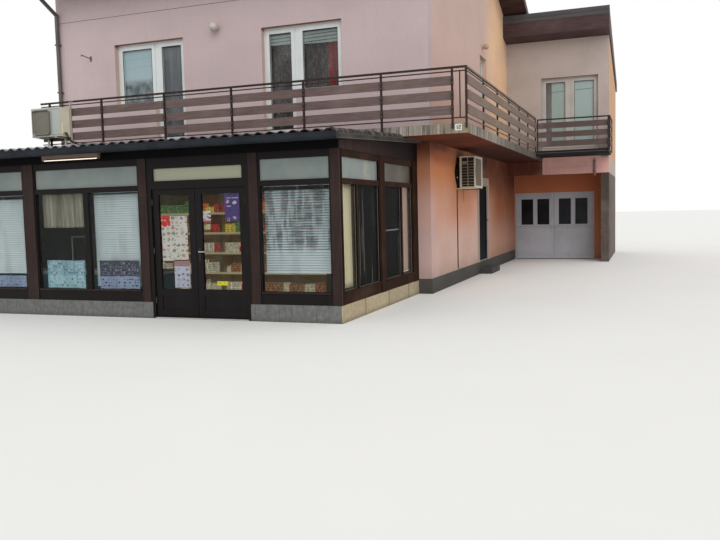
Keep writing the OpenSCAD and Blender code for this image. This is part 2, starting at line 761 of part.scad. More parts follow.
module ground_floor() {
  color("tan") {
    block([-shop_w + shop_wall_t, plinth_t, 0], [-plinth_t, shop_d, threshold_h]);
    block([door_frame_x0, post_d, 0], [door_frame_x1, plinth_t, threshold_h]);
    block([house_x0 + wall_t, front_y + wall_t, base_h - floor_t / 2], [inner_x1, rear_y - wall_t, base_h]);
    block([wing_x0 + wall_t, rear_y, 0], [inner_x1, wing_y1 - wall_t, threshold_h]);
    block([inner_x1, garage_y + wing_wall_t, 0], [wing_x1 - wing_wall_t, wing_y1 - wall_t, threshold_h]);
  }
}

// Grey base course round the front corner and along the side wall, with a step at the side door
step_d = 320;
module base_course() {
  color("dimgray") {
    block([cover_t + seat, front_y - base_proud, 0], [house_x1 + base_proud, front_y, base_h]);
    block([house_x1, front_y - base_proud, 0], [house_x1 + base_proud, side_door_y0, base_h]);
    block([house_x1, side_door_y1, 0], [house_x1 + base_proud, garage_y, base_h]);
    block([house_x1, side_door_y0, 0], [house_x1 + step_d, side_door_y1, base_h / 2]);
  }
}

// Balcony windows: left edge of each unit and the side its door is on
units = [[house_x1 - unit_a_from_right, -1], [house_x1 - unit_a_from_right - unit_pitch, 1]];
door_part_w = sash_w + door_glass_w + sash_mid_w / 2;
// Edges of the door part and the window part of a unit
function door_part(u) = u[1] < 0 ? [u[0], u[0] + door_part_w] : [u[0] + unit_w - door_part_w,
  u[0] + unit_w];
function window_part(u) = u[1] < 0 ? [u[0] + door_part_w, u[0] + unit_w] : [u[0],
  u[0] + unit_w - door_part_w];

// Front wall with a joint line in its render at the attic floor
groove_s = 10;
module house_front_wall() {
  color("rosybrown")
    difference() {
      along_x(house_x0, house_x1, [[front_y, 0], [front_y + wall_t, 0],
        [front_y + wall_t, wall_top(front_y + wall_t)], [front_y, wall_top(front_y)]]);
      for (u = units) {
        block([door_part(u)[0], front_y - eps, door_sill_z], [door_part(u)[1], front_y + wall_t + eps,
          head_z]);
        block([u[0], front_y - eps, sill_z], [u[0] + unit_w, front_y + wall_t + eps, head_z]);
      }
      block([house_x0 - eps, front_y - eps, attic_z], [house_x1 + eps, front_y + groove_s,
        attic_z + groove_s]);
    }
}

module house_left_wall() {
  color("rosybrown")
    along_x(house_x0, house_x0 + wall_t, [[front_y + wall_t, 0], [rear_y - wall_t, 0],
      [rear_y - wall_t, wall_top(rear_y - wall_t)], [ridge_y, wall_top(ridge_y)],
      [front_y + wall_t, wall_top(front_y + wall_t)]]);
}

module house_rear_wall() {
  color("rosybrown")
    along_x(house_x0, inner_x1, [[rear_y - wall_t, 0], [rear_y, 0], [rear_y, wall_top(rear_y)],
      [rear_y - wall_t, wall_top(rear_y - wall_t)]]);
}

module side_wall_front() {
  color("salmon") block([inner_x1, front_y + wall_t, 0], [house_x1, side_door_y0, ceiling_z]);
}

module side_wall_rear() {
  color("salmon") block([inner_x1, side_door_y1, 0], [house_x1, garage_y, ceiling_z]);
}

module side_wall_upper() {
  color("rosybrown")
    difference() {
      along_x(inner_x1, house_x1, [[front_y + wall_t, ceiling_z], [side_door_y0, ceiling_z],
        [side_door_y0, side_door_top], [side_door_y1, side_door_top], [side_door_y1, ceiling_z],
        [rear_y, ceiling_z], [rear_y, wall_top(rear_y)], [ridge_y, wall_top(ridge_y)],
        [front_y + wall_t, wall_top(front_y + wall_t)]]);
      block([inner_x1 - eps, side_window_y0, head_z - side_window_h],
        [house_x1 + eps, side_window_y0 + side_window_w, head_z]);
    }
}

module upper_floors() {
  color("lightgray") {
    block([house_x0 + wall_t, front_y + wall_t, ceiling_z], [inner_x1, rear_y - wall_t, upper_z]);
    block([house_x0 + wall_t, front_y + wall_t, attic_z - attic_t], [inner_x1, rear_y - wall_t, attic_z]);
  }
}

module main_roof() {
  color("brown")
    along_x(house_x0, verge_x - board_t - seat, [
      [front_y - roof_eave, roof_z(front_y - roof_eave)], [ridge_y, roof_z(ridge_y)],
      [rear_y + roof_eave, roof_z(rear_y + roof_eave)],
      [rear_y + roof_eave, roof_z(rear_y + roof_eave) + roof_t], [ridge_y, roof_z(ridge_y) + roof_t],
      [front_y - roof_eave, roof_z(front_y - roof_eave) + roof_t]]);
}

// Verge boards, the boarded soffit behind them and the eave boards
verge_drop = 40;
module roof_trim() {
  drop = soffit_t + verge_drop;
  eave0 = front_y - roof_eave;
  eave1 = rear_y + roof_eave;
  color("sienna") {
    along_x(verge_x - board_t, verge_x, [[eave0 - board_t, roof_z(eave0) - drop], [eave0,
      roof_z(eave0) - drop],
      [ridge_y, roof_z(ridge_y) - drop], [eave1, roof_z(eave1) - drop], [eave1 + board_t,
        roof_z(eave1) - drop],
      [eave1 + board_t, roof_z(eave1) + roof_t], [eave1, roof_z(eave1) + roof_t],
      [ridge_y, roof_z(ridge_y) + roof_t], [eave0, roof_z(eave0) + roof_t], [eave0 - board_t,
        roof_z(eave0) + roof_t]]);
    along_x(house_x1 + seat, verge_x - board_t / 2, [[eave0 - board_t / 2, roof_z(eave0) - soffit_t - seat],
      [eave0, roof_z(eave0) - soffit_t - seat], [ridge_y, roof_z(ridge_y) - soffit_t - seat],
      [eave1, roof_z(eave1) - soffit_t - seat], [eave1 + board_t / 2, roof_z(eave1) - soffit_t - seat],
      [eave1 + board_t / 2, roof_z(eave1) - seat], [eave1, roof_z(eave1) - seat], [ridge_y,
        roof_z(ridge_y) - seat],
      [eave0, roof_z(eave0) - seat], [eave0 - board_t / 2, roof_z(eave0) - seat]]);
    for (y = [[eave0 - board_t, eave0 - seat], [eave1 + seat, eave1 + board_t]])
      block([house_x0, y[0], roof_z(eave0) - drop], [verge_x - board_t / 2, y[1], roof_z(eave0) + roof_t]);
  }
}

// A straight pipe between two points
module pipe(a, b, r) {
  d = b - a;
  translate(a) rotate([0, atan2(norm([d[0], d[1]]), d[2]), atan2(d[1], d[0])]) cylinder(r = r, h = norm(d));
}

// The downpipe's swan neck goes down before it goes back, clear of the eave board
downpipe_r = 45;
swan_drop = 190;
swan_fall = 400;
pipe_gap = 25;
pipe_foot = 60;
clip_t = 6;
clip_h = 30;
clip_z = 500;
clip_pitch = 1100;
module roof_gutters() {
  eave_y = front_y - roof_eave - board_t - gutter_off;
  trough_z = roof_z(front_y - roof_eave) + roof_t - gutter_rise - bead_r;
  drop_z = trough_z - gutter_r - swan_drop;
  wall_z = drop_z - swan_fall;
  pipe_x = house_x0 + downpipe_r + pipe_gap;
  wall_pipe_y = front_y - downpipe_r - pipe_gap;
  color("slategray") {
    translate([house_x0, eave_y, trough_z]) gutter_run(verge_x - house_x0, -1);
    pipe([pipe_x, eave_y, drop_z], [pipe_x, eave_y, trough_z - gutter_r / 2], downpipe_r);
    pipe([pipe_x, eave_y, drop_z], [pipe_x, wall_pipe_y, wall_z], downpipe_r);
    for (p = [[eave_y, drop_z], [wall_pipe_y, wall_z]])
      translate([pipe_x, p[0], p[1]]) sphere(r = downpipe_r + 5);
    pipe([pipe_x, wall_pipe_y, wall_z], [pipe_x, wall_pipe_y, shop_top(front_y) + pipe_foot], downpipe_r);
    for (k = [0, 1, 2])
      block([pipe_x - downpipe_r - clip_t, wall_pipe_y - downpipe_r - clip_t,
        shop_top(front_y) + clip_z + k * clip_pitch],
        [pipe_x + downpipe_r + clip_t, front_y - seat,
          shop_top(front_y) + clip_z + k * clip_pitch + clip_h]);
    translate([house_x0, rear_y + roof_eave + board_t + gutter_off,
      trough_z]) gutter_run(verge_x - house_x0, 1);
  }
}

// Sash bars of one balcony unit: the holes are its two panes
function unit_panes(u) =
  let (d = door_part(u), w = window_part(u), s = u[1])
  [[s < 0 ? d[0] + sash_w : d[0] + sash_mid_w / 2, door_sill_z + sash_w,
    s < 0 ? d[1] - sash_mid_w / 2 : d[1] - sash_w, head_z - sash_w],
   [s < 0 ? w[0] + sash_mid_w / 2 : w[0] + sash_w, sill_z + sash_w,
    s < 0 ? w[1] - sash_w : w[1] - sash_mid_w / 2, head_z - sash_w]];

side_sash_w = 87;
side_pane = [side_window_y0 + side_sash_w, head_z - side_window_h + side_sash_w,
  side_window_y0 + side_window_w - side_sash_w, head_z - side_sash_w];
// A sash standing proud round a pane in X and Z, its face at y
module sash_ring(p, y) {
  s = sash_w - frame_w;
  pierced_xz(p[0] - s, p[2] + s, p[1] - s, p[3] + s, y, sash_proud, [p]);
}

module upper_windows() {
  color("white") {
    for (u = units)
      difference() {
        union() {
          block([door_part(u)[0], front_y + reveal_d, door_sill_z],
            [door_part(u)[1], front_y + reveal_d + sash_d, head_z]);
          block([u[0], front_y + reveal_d, sill_z], [u[0] + unit_w, front_y + reveal_d + sash_d, head_z]);
        }
        for (p = unit_panes(u))
          block([p[0], front_y, p[1]], [p[2], front_y + wall_t, p[3]]);
      }
    for (u = units, p = unit_panes(u)) sash_ring(p, front_y + reveal_d - sash_proud);
    pierced_yz(side_window_y0, side_window_y0 + side_window_w, head_z - side_window_h, head_z,
      house_x1 - reveal_d - sash_d, sash_d, [side_pane]);
    pierced_yz(side_window_y0 + frame_w, side_window_y0 + side_window_w - frame_w,
      head_z - side_window_h + frame_w, head_z - frame_w, house_x1 - reveal_d, sash_proud, [side_pane]);
  }
}

// Panes of the balcony doors in the wing: [left, right]
wing_door_x0 = house_x1 + wing_door_x;
wing_leaf_w = wing_door_w / 2;
wing_panes = [for (k = [0, 1]) [wing_door_x0 + k * wing_leaf_w + sash_w,
  wing_door_x0 + (k + 1) * wing_leaf_w - sash_w]];

module upper_glass() {
  glass_y = front_y + reveal_d + (sash_d - glass_t) / 2;
  color("lightblue", 0.4) {
    for (u = units, p = unit_panes(u))
      block([p[0], glass_y, p[1]], [p[2], glass_y + glass_t, p[3]]);
    block([house_x1 - reveal_d - (sash_d + glass_t) / 2, side_pane[0], side_pane[1]],
      [house_x1 - reveal_d - (sash_d - glass_t) / 2, side_pane[2], side_pane[3]]);
    for (p = wing_panes)
      block([p[0], rear_y + reveal_d + (sash_d - glass_t) / 2, upper_z + 2 * sash_w],
        [p[1], rear_y + reveal_d + (sash_d + glass_t) / 2, wing_door_head_z - sash_w]);
  }
}

// Side door: frame near the wall's face with a surround on it, leaf swings inwards
side_trim_t = 14;
side_trim_lap = 20;
side_frame_x1 = house_x1 - side_reveal_d;
side_leaf_z = base_h + 30 + leaf_gap;
side_leaf_y = side_door_y0 + side_jamb_w + leaf_gap;
side_leaf_w = side_door_w - 2 * side_jamb_w - 2 * leaf_gap;
side_leaf_h = side_door_top - side_jamb_w - leaf_gap - side_leaf_z;
side_axis = [side_frame_x1 - leaf_t - axis_off, side_leaf_y - leaf_gap / 2];

// A hinge of the side door: s points along Y to the piece that carries it
module side_hinge(z, h, s) {
  translate([side_axis[0], side_axis[1], z]) cylinder(r = knuckle_r, h = h);
  translate([side_axis[0] + axis_off - flap_t, s > 0 ? side_axis[1] : side_axis[1] - flap_w, z])
    cube([flap_t, flap_w, h]);
}

module side_door_frame() {
  color("white") {
    difference() {
      block([side_frame_x1 - leaf_t, side_door_y0, base_h], [side_frame_x1, side_door_y1, side_door_top]);
      block([side_frame_x1 - leaf_t - eps, side_door_y0 + side_jamb_w, base_h + 30],
        [side_frame_x1 + eps, side_door_y1 - side_jamb_w, side_door_top - side_jamb_w]);
    }
    difference() {
      union() {
        block([house_x1 + seat, side_door_y0 - side_trim_w, base_h],
          [house_x1 + side_trim_t, side_door_y1 + side_trim_w, side_door_top + side_trim_w]);
        block([side_frame_x1 - side_trim_t, side_door_y0, base_h],
          [house_x1 + side_trim_t, side_door_y1, side_door_top]);
      }
      block([side_frame_x1 - leaf_t, side_door_y0 + side_trim_lap, base_h - eps],
        [house_x1 + side_trim_t + eps, side_door_y1 - side_trim_lap, side_door_top - side_trim_lap]);
    }
    for (k = hinge_zs, up = [0, 1])
      side_hinge(side_leaf_z + side_leaf_h * k + (up == 1 ? knuckle_h + seat : -knuckle_h / 2 - seat),
        knuckle_h / 2, -1);
  }
}

module side_door() {
  color("dimgray") {
    difference() {
      block([side_frame_x1 - leaf_t, side_leaf_y, side_leaf_z],
        [side_frame_x1, side_leaf_y + side_leaf_w, side_leaf_z + side_leaf_h]);
      for (z = [side_leaf_z + 140, side_leaf_z + side_leaf_h / 2 + 60])
        block([side_frame_x1 - 10, side_leaf_y + 140, z],
          [side_frame_x1 + eps, side_leaf_y + side_leaf_w - 140, z + side_leaf_h / 2 - 200]);
    }
    for (k = hinge_zs) side_hinge(side_leaf_z + side_leaf_h * k, knuckle_h, 1);
    translate([side_frame_x1, side_leaf_y + side_leaf_w - 60, handle_z + base_h]) {
      translate([0, -17, -100]) cube([8, 34, 200]);
      rotate([0, 90, 0]) cylinder(r = 9, h = 50);
      translate([50, 0, 0]) rotate([90, 0, 0]) cylinder(r = 9, h = 110);
    }
  }
}

// Balcony

// Metal drip strip along the rear balcony's edge, below its railing posts
strip_proud = 60;
strip_drop = 25;
strip_top = 70;
module balcony_slab() {
  color("gray") {
    block([balcony_x0, balcony_y, ceiling_z], [balcony_x1, front_y, balcony_top]);
    block([house_x1, front_y, ceiling_z], [balcony_x1, rear_y, balcony_top]);
    block([balcony_x1, rear_balcony_y, rear_balcony_top - rear_balcony_t], [rear_end_x, rear_y,
      rear_balcony_top]);
    along_x(balcony_x1, rear_end_x, [[rear_balcony_y - strip_proud,
      rear_balcony_top - rear_balcony_t - strip_drop],
      [rear_balcony_y, rear_balcony_top - rear_balcony_t - strip_drop], [rear_balcony_y,
        rear_balcony_top - strip_top],
      [rear_balcony_y - strip_proud / 2, rear_balcony_top - strip_top],
      [rear_balcony_y - strip_proud, rear_balcony_top - rear_balcony_t]]);
  }
}

// Heights of the rail boards' lower edges
board_rise = 160;
board_zs = [for (k = [0 : 2]) balcony_top + board_rise + k * rail_board_pitch];
second_rail_z = rail_top - 95;
low_rail_z = balcony_top + 85;
thin_s = 20;
corner_w = 270;
end_margin = 233;
thin_bar_x = balcony_x1 - 143;
corner_x = balcony_x1 - corner_w;
front_posts = concat([balcony_x1 - rail_s / 2, corner_x],
  [for (x = corner_x - first_pitch; x > balcony_x0 + end_margin + post_pitch / 2; x = x - post_pitch) x],
  [balcony_x0 + end_margin]);

// Posts, rails and boards of the front railing; its posts stand before the slab's edge
module front_railing() {
  color("saddlebrown") {
    for (x = front_posts)
      block([x - rail_s / 2, balcony_y - rail_s, ceiling_z + balcony_t / 2], [x + rail_s / 2,
        balcony_y, rail_top]);
    block([balcony_x0, balcony_y - rail_s, rail_top - rail_s], [balcony_x1, balcony_y, rail_top]);
    for (z = [second_rail_z, low_rail_z])
      block([balcony_x0, balcony_y - thin_s, z], [balcony_x1, balcony_y, z + thin_s]);
    block([thin_bar_x, balcony_y - thin_s, low_rail_z], [thin_bar_x + thin_s, balcony_y, second_rail_z]);
    for (z = board_zs)
      block([balcony_x0, balcony_y, z], [corner_x + rail_s / 2, balcony_y + rail_board_t,
        z + rail_board_h]);
  }
}

// The side railing has its boards outside its posts
module side_railing() {
  n = ceil((rear_balcony_y - balcony_y) / post_pitch);
  step = (rear_balcony_y - balcony_y - rail_s) / n;
  color("saddlebrown") {
    for (k = [1 : n])
      block([balcony_x1 - rail_s, balcony_y + k * step, balcony_top],
        [balcony_x1, balcony_y + k * step + rail_s, rail_top]);
    block([balcony_x1 - rail_s, balcony_y, rail_top - rail_s], [balcony_x1, rear_balcony_y, rail_top]);
    for (z = [second_rail_z, low_rail_z])
      block([balcony_x1 - thin_s, balcony_y, z], [balcony_x1, rear_balcony_y, z + thin_s]);
    for (z = board_zs)
      block([balcony_x1, balcony_y, z], [balcony_x1 + rail_board_t, rear_balcony_y, z + rail_board_h]);
  }
}

// The rear railing is a hand lower
rear_rail_drop = 50;
module rear_railing() {
  x0 = balcony_x1 + rail_board_t;
  x1 = rear_end_x;
  y = rear_balcony_y;
  top = rail_top - rear_rail_drop;
  color("saddlebrown") {
    for (x = [x0, x1 - rail_s])
      block([x, y - rail_s, rear_balcony_top - rear_balcony_t / 2], [x + rail_s, y, top]);
    for (post_y = [y - rail_s, rear_y - rail_s])
      block([x1, post_y, rear_balcony_top - rear_balcony_t / 2], [x1 + rail_s, post_y + rail_s, top]);
    block([x0, y - rail_s, top - rail_s], [x1, y, top]);
    block([x1, y - rail_s, top - rail_s], [x1 + rail_s, rear_y, top]);
    for (z = board_zs) {
      block([x0, y, z], [x1, y + rail_board_t, z + rail_board_h]);
      block([x1, y, z], [x1 + rail_board_t, rear_y, z + rail_board_h]);
    }
  }
}

// Wing

module wing_walls() {
  color("rosybrown") {
    along_x(wing_x1 - wing_wall_t, wing_x1, [[rear_y, 0], [wing_y1, 0], [wing_y1, wing_wall_top(wing_y1)],
      [rear_y, wing_wall_top(rear_y)]]);
    along_x(wing_x0, wing_x0 + wall_t, [[rear_y, 0], [wing_y1 - wall_t, 0],
      [wing_y1 - wall_t, wing_wall_top(wing_y1 - wall_t)], [rear_y, wing_wall_top(rear_y)]]);
    along_x(wing_x0, wing_x1 - wing_wall_t, [[wing_y1 - wall_t, 0], [wing_y1, 0],
      [wing_y1, wing_wall_top(wing_y1)], [wing_y1 - wall_t, wing_wall_top(wing_y1 - wall_t)]]);
  }
}

module wing_front_wall() {
  color("rosybrown")
    difference() {
      along_x(house_x1, wing_x1 - wing_wall_t, [[rear_y, upper_z], [rear_y + wall_t, upper_z],
        [rear_y + wall_t, wing_wall_top(rear_y + wall_t)], [rear_y, wing_wall_top(rear_y)]]);
      block([wing_door_x0, rear_y - eps, upper_z - eps],
        [wing_door_x0 + wing_door_w, rear_y + wall_t + eps, wing_door_head_z]);
    }
}

// Upper floor of the wing, with the beam over the porch under its front edge
module wing_floor() {
  color("rosybrown") {
    block([house_x1, rear_y, ceiling_z], [wing_x1 - wing_wall_t, wing_y1 - wall_t, upper_z]);
    block([wing_x0 + wall_t, rear_y, ceiling_z], [house_x1, wing_y1 - wall_t, upper_z]);
    difference() {
      block([house_x1, rear_y, porch_h], [wing_x1 - wing_wall_t, rear_y + wall_t, ceiling_z]);
      block([house_x1 - eps, rear_y - eps, (porch_h + ceiling_z) / 2],
        [wing_x1, rear_y + groove_s, (porch_h + ceiling_z) / 2 + groove_s]);
    }
  }
}

// Wall with the garage opening at the back of the porch
module garage_wall() {
  color("darkorange") {
    block([inner_x1, garage_y, 0], [garage_x0, garage_y + wing_wall_t, ceiling_z]);
    block([garage_x0, garage_y, garage_h], [garage_x1, garage_y + wing_wall_t, ceiling_z]);
    block([garage_x1, garage_y, 0], [wing_x1 - wing_wall_t, garage_y + wing_wall_t, ceiling_z]);
  }
}

garage_leaf_z = 20;
garage_leaf_h = garage_h - garage_jamb_w - leaf_gap - garage_leaf_z;
garage_leaf_w = (garage_w - 2 * garage_jamb_w - 3 * leaf_gap - 2) / 2;
garage_left_x = garage_x0 + garage_jamb_w + leaf_gap;
garage_right_x = garage_x1 - garage_jamb_w - leaf_gap - garage_leaf_w;
garage_axis_y = garage_y - axis_off;

// A garage hinge: s points along X to the piece that carries it
module garage_hinge(x, z, h, s) {
  translate([x, garage_axis_y, z]) cylinder(r = knuckle_r, h = h);
  translate([min(x, x + s * flap_w), garage_axis_y + axis_off - flap_t, z]) cube([flap_w, flap_t, h]);
}

module garage_frame() {
  color("whitesmoke") {
    difference() {
      block([garage_x0, garage_y, 0], [garage_x1, garage_y + garage_leaf_t, garage_h]);
      block([garage_x0 + garage_jamb_w, garage_y - eps, -eps],
        [garage_x1 - garage_jamb_w, garage_y + garage_leaf_t + eps, garage_h - garage_jamb_w]);
    }
    for (e = [[garage_left_x - leaf_gap / 2, -1], [garage_right_x + garage_leaf_w + leaf_gap / 2, 1]],
      k = hinge_zs, up = [0, 1])
      garage_hinge(e[0], garage_leaf_z + garage_leaf_h * k +
        (up == 1 ? knuckle_h + seat : -knuckle_h / 2 - seat), knuckle_h / 2, e[1]);
  }
}

// A garage leaf with two panes sunk in its face, a rail under them and a framed panel below
garage_sunk = 18;
garage_rail_h = 90;
module garage_leaf(x) {
  pane_w = (garage_leaf_w - 2 * garage_stile_w - garage_bar_w) / 2;
  panel = [x + garage_stile_w / 2, garage_leaf_z + garage_rail_h,
    x + garage_leaf_w - garage_stile_w / 2, garage_pane_z - garage_rail_h];
  difference() {
    block([x, garage_y, garage_leaf_z], [x + garage_leaf_w, garage_y + garage_leaf_t,
      garage_leaf_z + garage_leaf_h]);
    for (k = [0, 1])
      block([x + garage_stile_w + k * (pane_w + garage_bar_w), garage_y - eps, garage_pane_z],
        [x + garage_stile_w + k * (pane_w + garage_bar_w) + pane_w, garage_y + garage_sunk,
          garage_pane_z + garage_pane_h]);
    difference() {
      block([panel[0], garage_y - eps, panel[1]], [panel[2], garage_y + groove_s / 2, panel[3]]);
      block([panel[0] + groove_s, garage_y - 2 * eps, panel[1] + groove_s],
        [panel[2] - groove_s, garage_y + groove_s, panel[3] - groove_s]);
    }
  }
}

module garage_door_left() {
  color("whitesmoke") {
    garage_leaf(garage_left_x);
    for (k = hinge_zs)
      garage_hinge(garage_left_x - leaf_gap / 2, garage_leaf_z + garage_leaf_h * k, knuckle_h, 1);
  }
}

module garage_door_right() {
  color("whitesmoke") {
    garage_leaf(garage_right_x);
    for (k = hinge_zs)
      garage_hinge(garage_right_x + garage_leaf_w + leaf_gap / 2, garage_leaf_z + garage_leaf_h * k,
        knuckle_h, -1);
    translate([garage_right_x + 60, garage_y, handle_z]) {
      translate([-15, -8, -70]) cube([30, 8, 140]);
      rotate([90, 0, 0]) cylinder(r = 9, h = 50);
      translate([0, -50, 0]) rotate([0, 90, 0]) cylinder(r = 9, h = 100);
    }
  }
}

module wing_doors() {
  color("white") {
    for (p = wing_panes)
      sash_ring([p[0], upper_z + 2 * sash_w, p[1], wing_door_head_z - sash_w],
        rear_y + reveal_d - sash_proud);
    pierced_xz(wing_door_x0, wing_door_x0 + wing_door_w, upper_z, wing_door_head_z, rear_y + reveal_d,
      sash_d,
      [for (p = wing_panes) [p[0], upper_z + 2 * sash_w, p[1], wing_door_head_z - sash_w]]);
  }
}

module wing_roof() {
  y1 = wing_y1 + wing_verge;
  color("dimgray") {
    along_x(house_x1, wing_x1 + wing_right_verge, [[rear_y - wing_eave, wing_roof_z(rear_y - wing_eave)],
      [y1, wing_roof_z(y1)], [y1, wing_roof_z(y1) + wing_roof_t],
      [rear_y - wing_eave, wing_roof_z(rear_y - wing_eave) + wing_roof_t]]);
    along_x(wing_x0 - wing_verge, house_x1, [[rear_y, wing_roof_z(rear_y)], [y1, wing_roof_z(y1)],
      [y1, wing_roof_z(y1) + wing_roof_t], [rear_y, wing_roof_z(rear_y) + wing_roof_t]]);
  }
}

// Brown fascia board with a folded metal band above it, on the front and the right side
band_proud = 8;
band_fold = 14;
wing_upstand = 60;
module wing_fascia() {
  y0 = rear_y - wing_eave - board_t - seat;
  x1 = wing_x1 + wing_right_verge + seat;
  z0 = fascia_z - wing_fascia_drop;
  y1 = wing_y1 + wing_verge;
  top = fascia_z + wing_fascia_h + wing_band_h;
  color("saddlebrown") {
    block([house_x1, y0, z0], [x1 + board_t, y0 + board_t, top - wing_band_h]);
    block([house_x1, y0 - band_proud, top - wing_band_h], [x1 + board_t + band_proud, y0 + board_t, top]);
    block([house_x1, y0 - 2 * band_proud, top - wing_band_h / 2],
      [x1 + board_t + 2 * band_proud, y0, top - wing_band_h / 2 + band_fold]);
    along_x(x1, x1 + board_t, [[y0, z0], [y1, wing_roof_z(y1) - soffit_t],
      [y1, wing_roof_z(y1) + wing_roof_t + wing_upstand], [y0, top]]);
  }
}

// Outdoor unit of an air conditioner, size along X, Y and Z, its front lower left corner at the origin.
// The fan sits in a round well behind rings and bars; slots for the coil are cut in the left end.
fan_x = 0.36;
fan_r = 0.38;
well_d = 50;
ring_w = 5;
hub_r = 45;
slot_rows = 7;
slot_gap = 22;
slot_d = 25;
module outdoor_unit(size) {
  r = size[2] * fan_r;
  slot_w = (size[1] - 5 * slot_gap) / 2;
  slot_h = (size[2] - (slot_rows + 3) * slot_gap) / slot_rows;
  difference() {
    cube(size);
    translate([size[0] * fan_x, -eps, size[2] / 2]) rotate([-90, 0, 0]) cylinder(r = r,
      h = well_d + eps, $fn = 48);
    for (i = [0, 1], k = [0 : slot_rows - 1])
      translate([-eps, 1.5 * slot_gap + i * (slot_w + slot_gap), 2 * slot_gap + k * (slot_h + slot_gap)])
        cube([slot_d + eps, slot_w, slot_h]);
    for (z = [size[2] * 0.3, size[2] * 0.82])
      translate([size[0] - ring_w, size[1] * 0.3, z]) cube([2 * ring_w, size[1] * 0.45, size[2] * 0.06]);
  }
  translate([size[0] * fan_x, 0, size[2] / 2]) rotate([-90, 0, 0]) {
    cylinder(r = hub_r, h = well_d + eps);
    for (k = [1 : 5]) difference() {
      cylinder(r = hub_r + (r - hub_r) * k / 6 + ring_w / 2, h = ring_w, $fn = 48);
      translate([0, 0, -eps]) cylinder(r = hub_r + (r - hub_r) * k / 6 - ring_w / 2,
        h = ring_w + 2 * eps, $fn = 48);
    }
    for (a = [0, 45, 90, 135]) rotate([0, 0, a]) translate([-r - ring_w, -ring_w / 2,
      ring_w / 2]) cube([2 * (r + ring_w), ring_w, ring_w]);
  }
}

// An angle bracket under a unit: its arm reaches along -Y from the origin, its leg goes down
module bracket(reach, leg) {
  translate([0, -reach, -bracket_w]) cube([bracket_w, reach, bracket_w]);
  translate([0, -bracket_w, -leg]) cube([bracket_w, bracket_w, leg]);
}

unit_front_rise = 224;
module ac_unit_front() {
  y1 = balcony_y - rail_s - seat;
  x = balcony_x0 + unit_front_x;
  z = balcony_top + unit_front_rise;
  color("ivory") {
    translate([x, y1 - unit_front[1], z]) outdoor_unit(unit_front);
    for (k = [0.2, 0.8]) translate([x + k * unit_front[0], y1, z]) bracket(unit_front[1], unit_bracket_h);
  }
}

unit_side_drop = 175;
unit_side_z = ceiling_z - unit_side[2] - unit_side_drop;
unit_bracket_h = 310;
refrigerant_r = 12;
module ac_unit_side() {
  x1 = house_x1 + unit_wall_gap + unit_side[1];
  y0 = front_y + unit_side_y;
  color("ivory") {
    translate([x1, y0, unit_side_z]) rotate([0, 0, 90]) outdoor_unit(unit_side);
    for (k = [0.15, 0.8])
      translate([house_x1 + seat, y0 + k * unit_side[0], unit_side_z]) rotate([0, 0, 90])
        bracket(x1 - house_x1 - seat, unit_bracket_h);
    pipe([house_x1 + refrigerant_r + seat, y0, unit_side_z - bracket_w / 2],
      [house_x1 + refrigerant_r + seat, y0, base_h + 2 * refrigerant_r], refrigerant_r);
  }
}

// Globe lamp between the balcony windows and the small lamp on the side wall
globe_side = 864;
globe_x = units[1][0] + unit_w + globe_side;
lamp_arm = 130;
lamp_plate_t = 25;
side_lamp_y = side_window_y0 + side_window_w / 2 - 118;
side_lamp_r = 70;
side_lamp_out = 110;
module wall_lamps() {
  color("white") {
    translate([globe_x, front_y - lamp_arm, head_z + globe_rise]) {
      sphere(r = globe_r, $fn = 48);
      rotate([-90, 0, 0]) cylinder(r = globe_r * 0.3, h = lamp_arm - lamp_plate_t / 2);
      translate([0, lamp_arm - lamp_plate_t, 0]) rotate([-90, 0, 0]) cylinder(r = globe_r * 0.6,
        h = lamp_plate_t - seat);
    }
    translate([house_x1 + seat, side_lamp_y, head_z + 2.2 * globe_rise]) {
      rotate([0, 90, 0]) cylinder(r = side_lamp_r * 0.65, h = 60);
      translate([side_lamp_out, 0, 0]) sphere(r = side_lamp_r);
    }
  }
}

shop_plinth();
shop_front_frame();
shop_side_frame();
shop_door_frame();
shop_door_left();
shop_door_left_glass();
shop_door_right();
shop_door_right_glass();
shop_door_handle();
shop_glass();
shop_transom_lights();
shop_fascia();
shop_roof();
shop_gutter();
shop_left_wall();
shop_blinds();
shop_curtains();
shop_shelves();
eave_lamps();
ground_floor();
base_course();
house_front_wall();
house_left_wall();
house_rear_wall();
side_wall_front();
side_wall_rear();
side_wall_upper();
upper_floors();
main_roof();
roof_trim();
roof_gutters();
upper_windows();
upper_glass();
side_door_frame();
side_door();
balcony_slab();
front_railing();
side_railing();
rear_railing();
wing_walls();
wing_front_wall();
wing_floor();
garage_wall();
garage_frame();
garage_door_left();
garage_door_right();
wing_doors();
wing_roof();
wing_fascia();
ac_unit_front();
ac_unit_side();
wall_lamps();
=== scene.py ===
# %% [markdown]
# # Dressing a corner shop building
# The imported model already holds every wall, frame, door and railing at its true size and place.
# This lesson gives it the looks of the real house: render, stained wood, tiles, slatted blinds and goods.
# All lengths are in metres, +X runs right along the street, +Y back into the plot and +Z up.

# %% Load the model
import math
import random

import bpy
from mathutils import Euler, Matrix, Vector


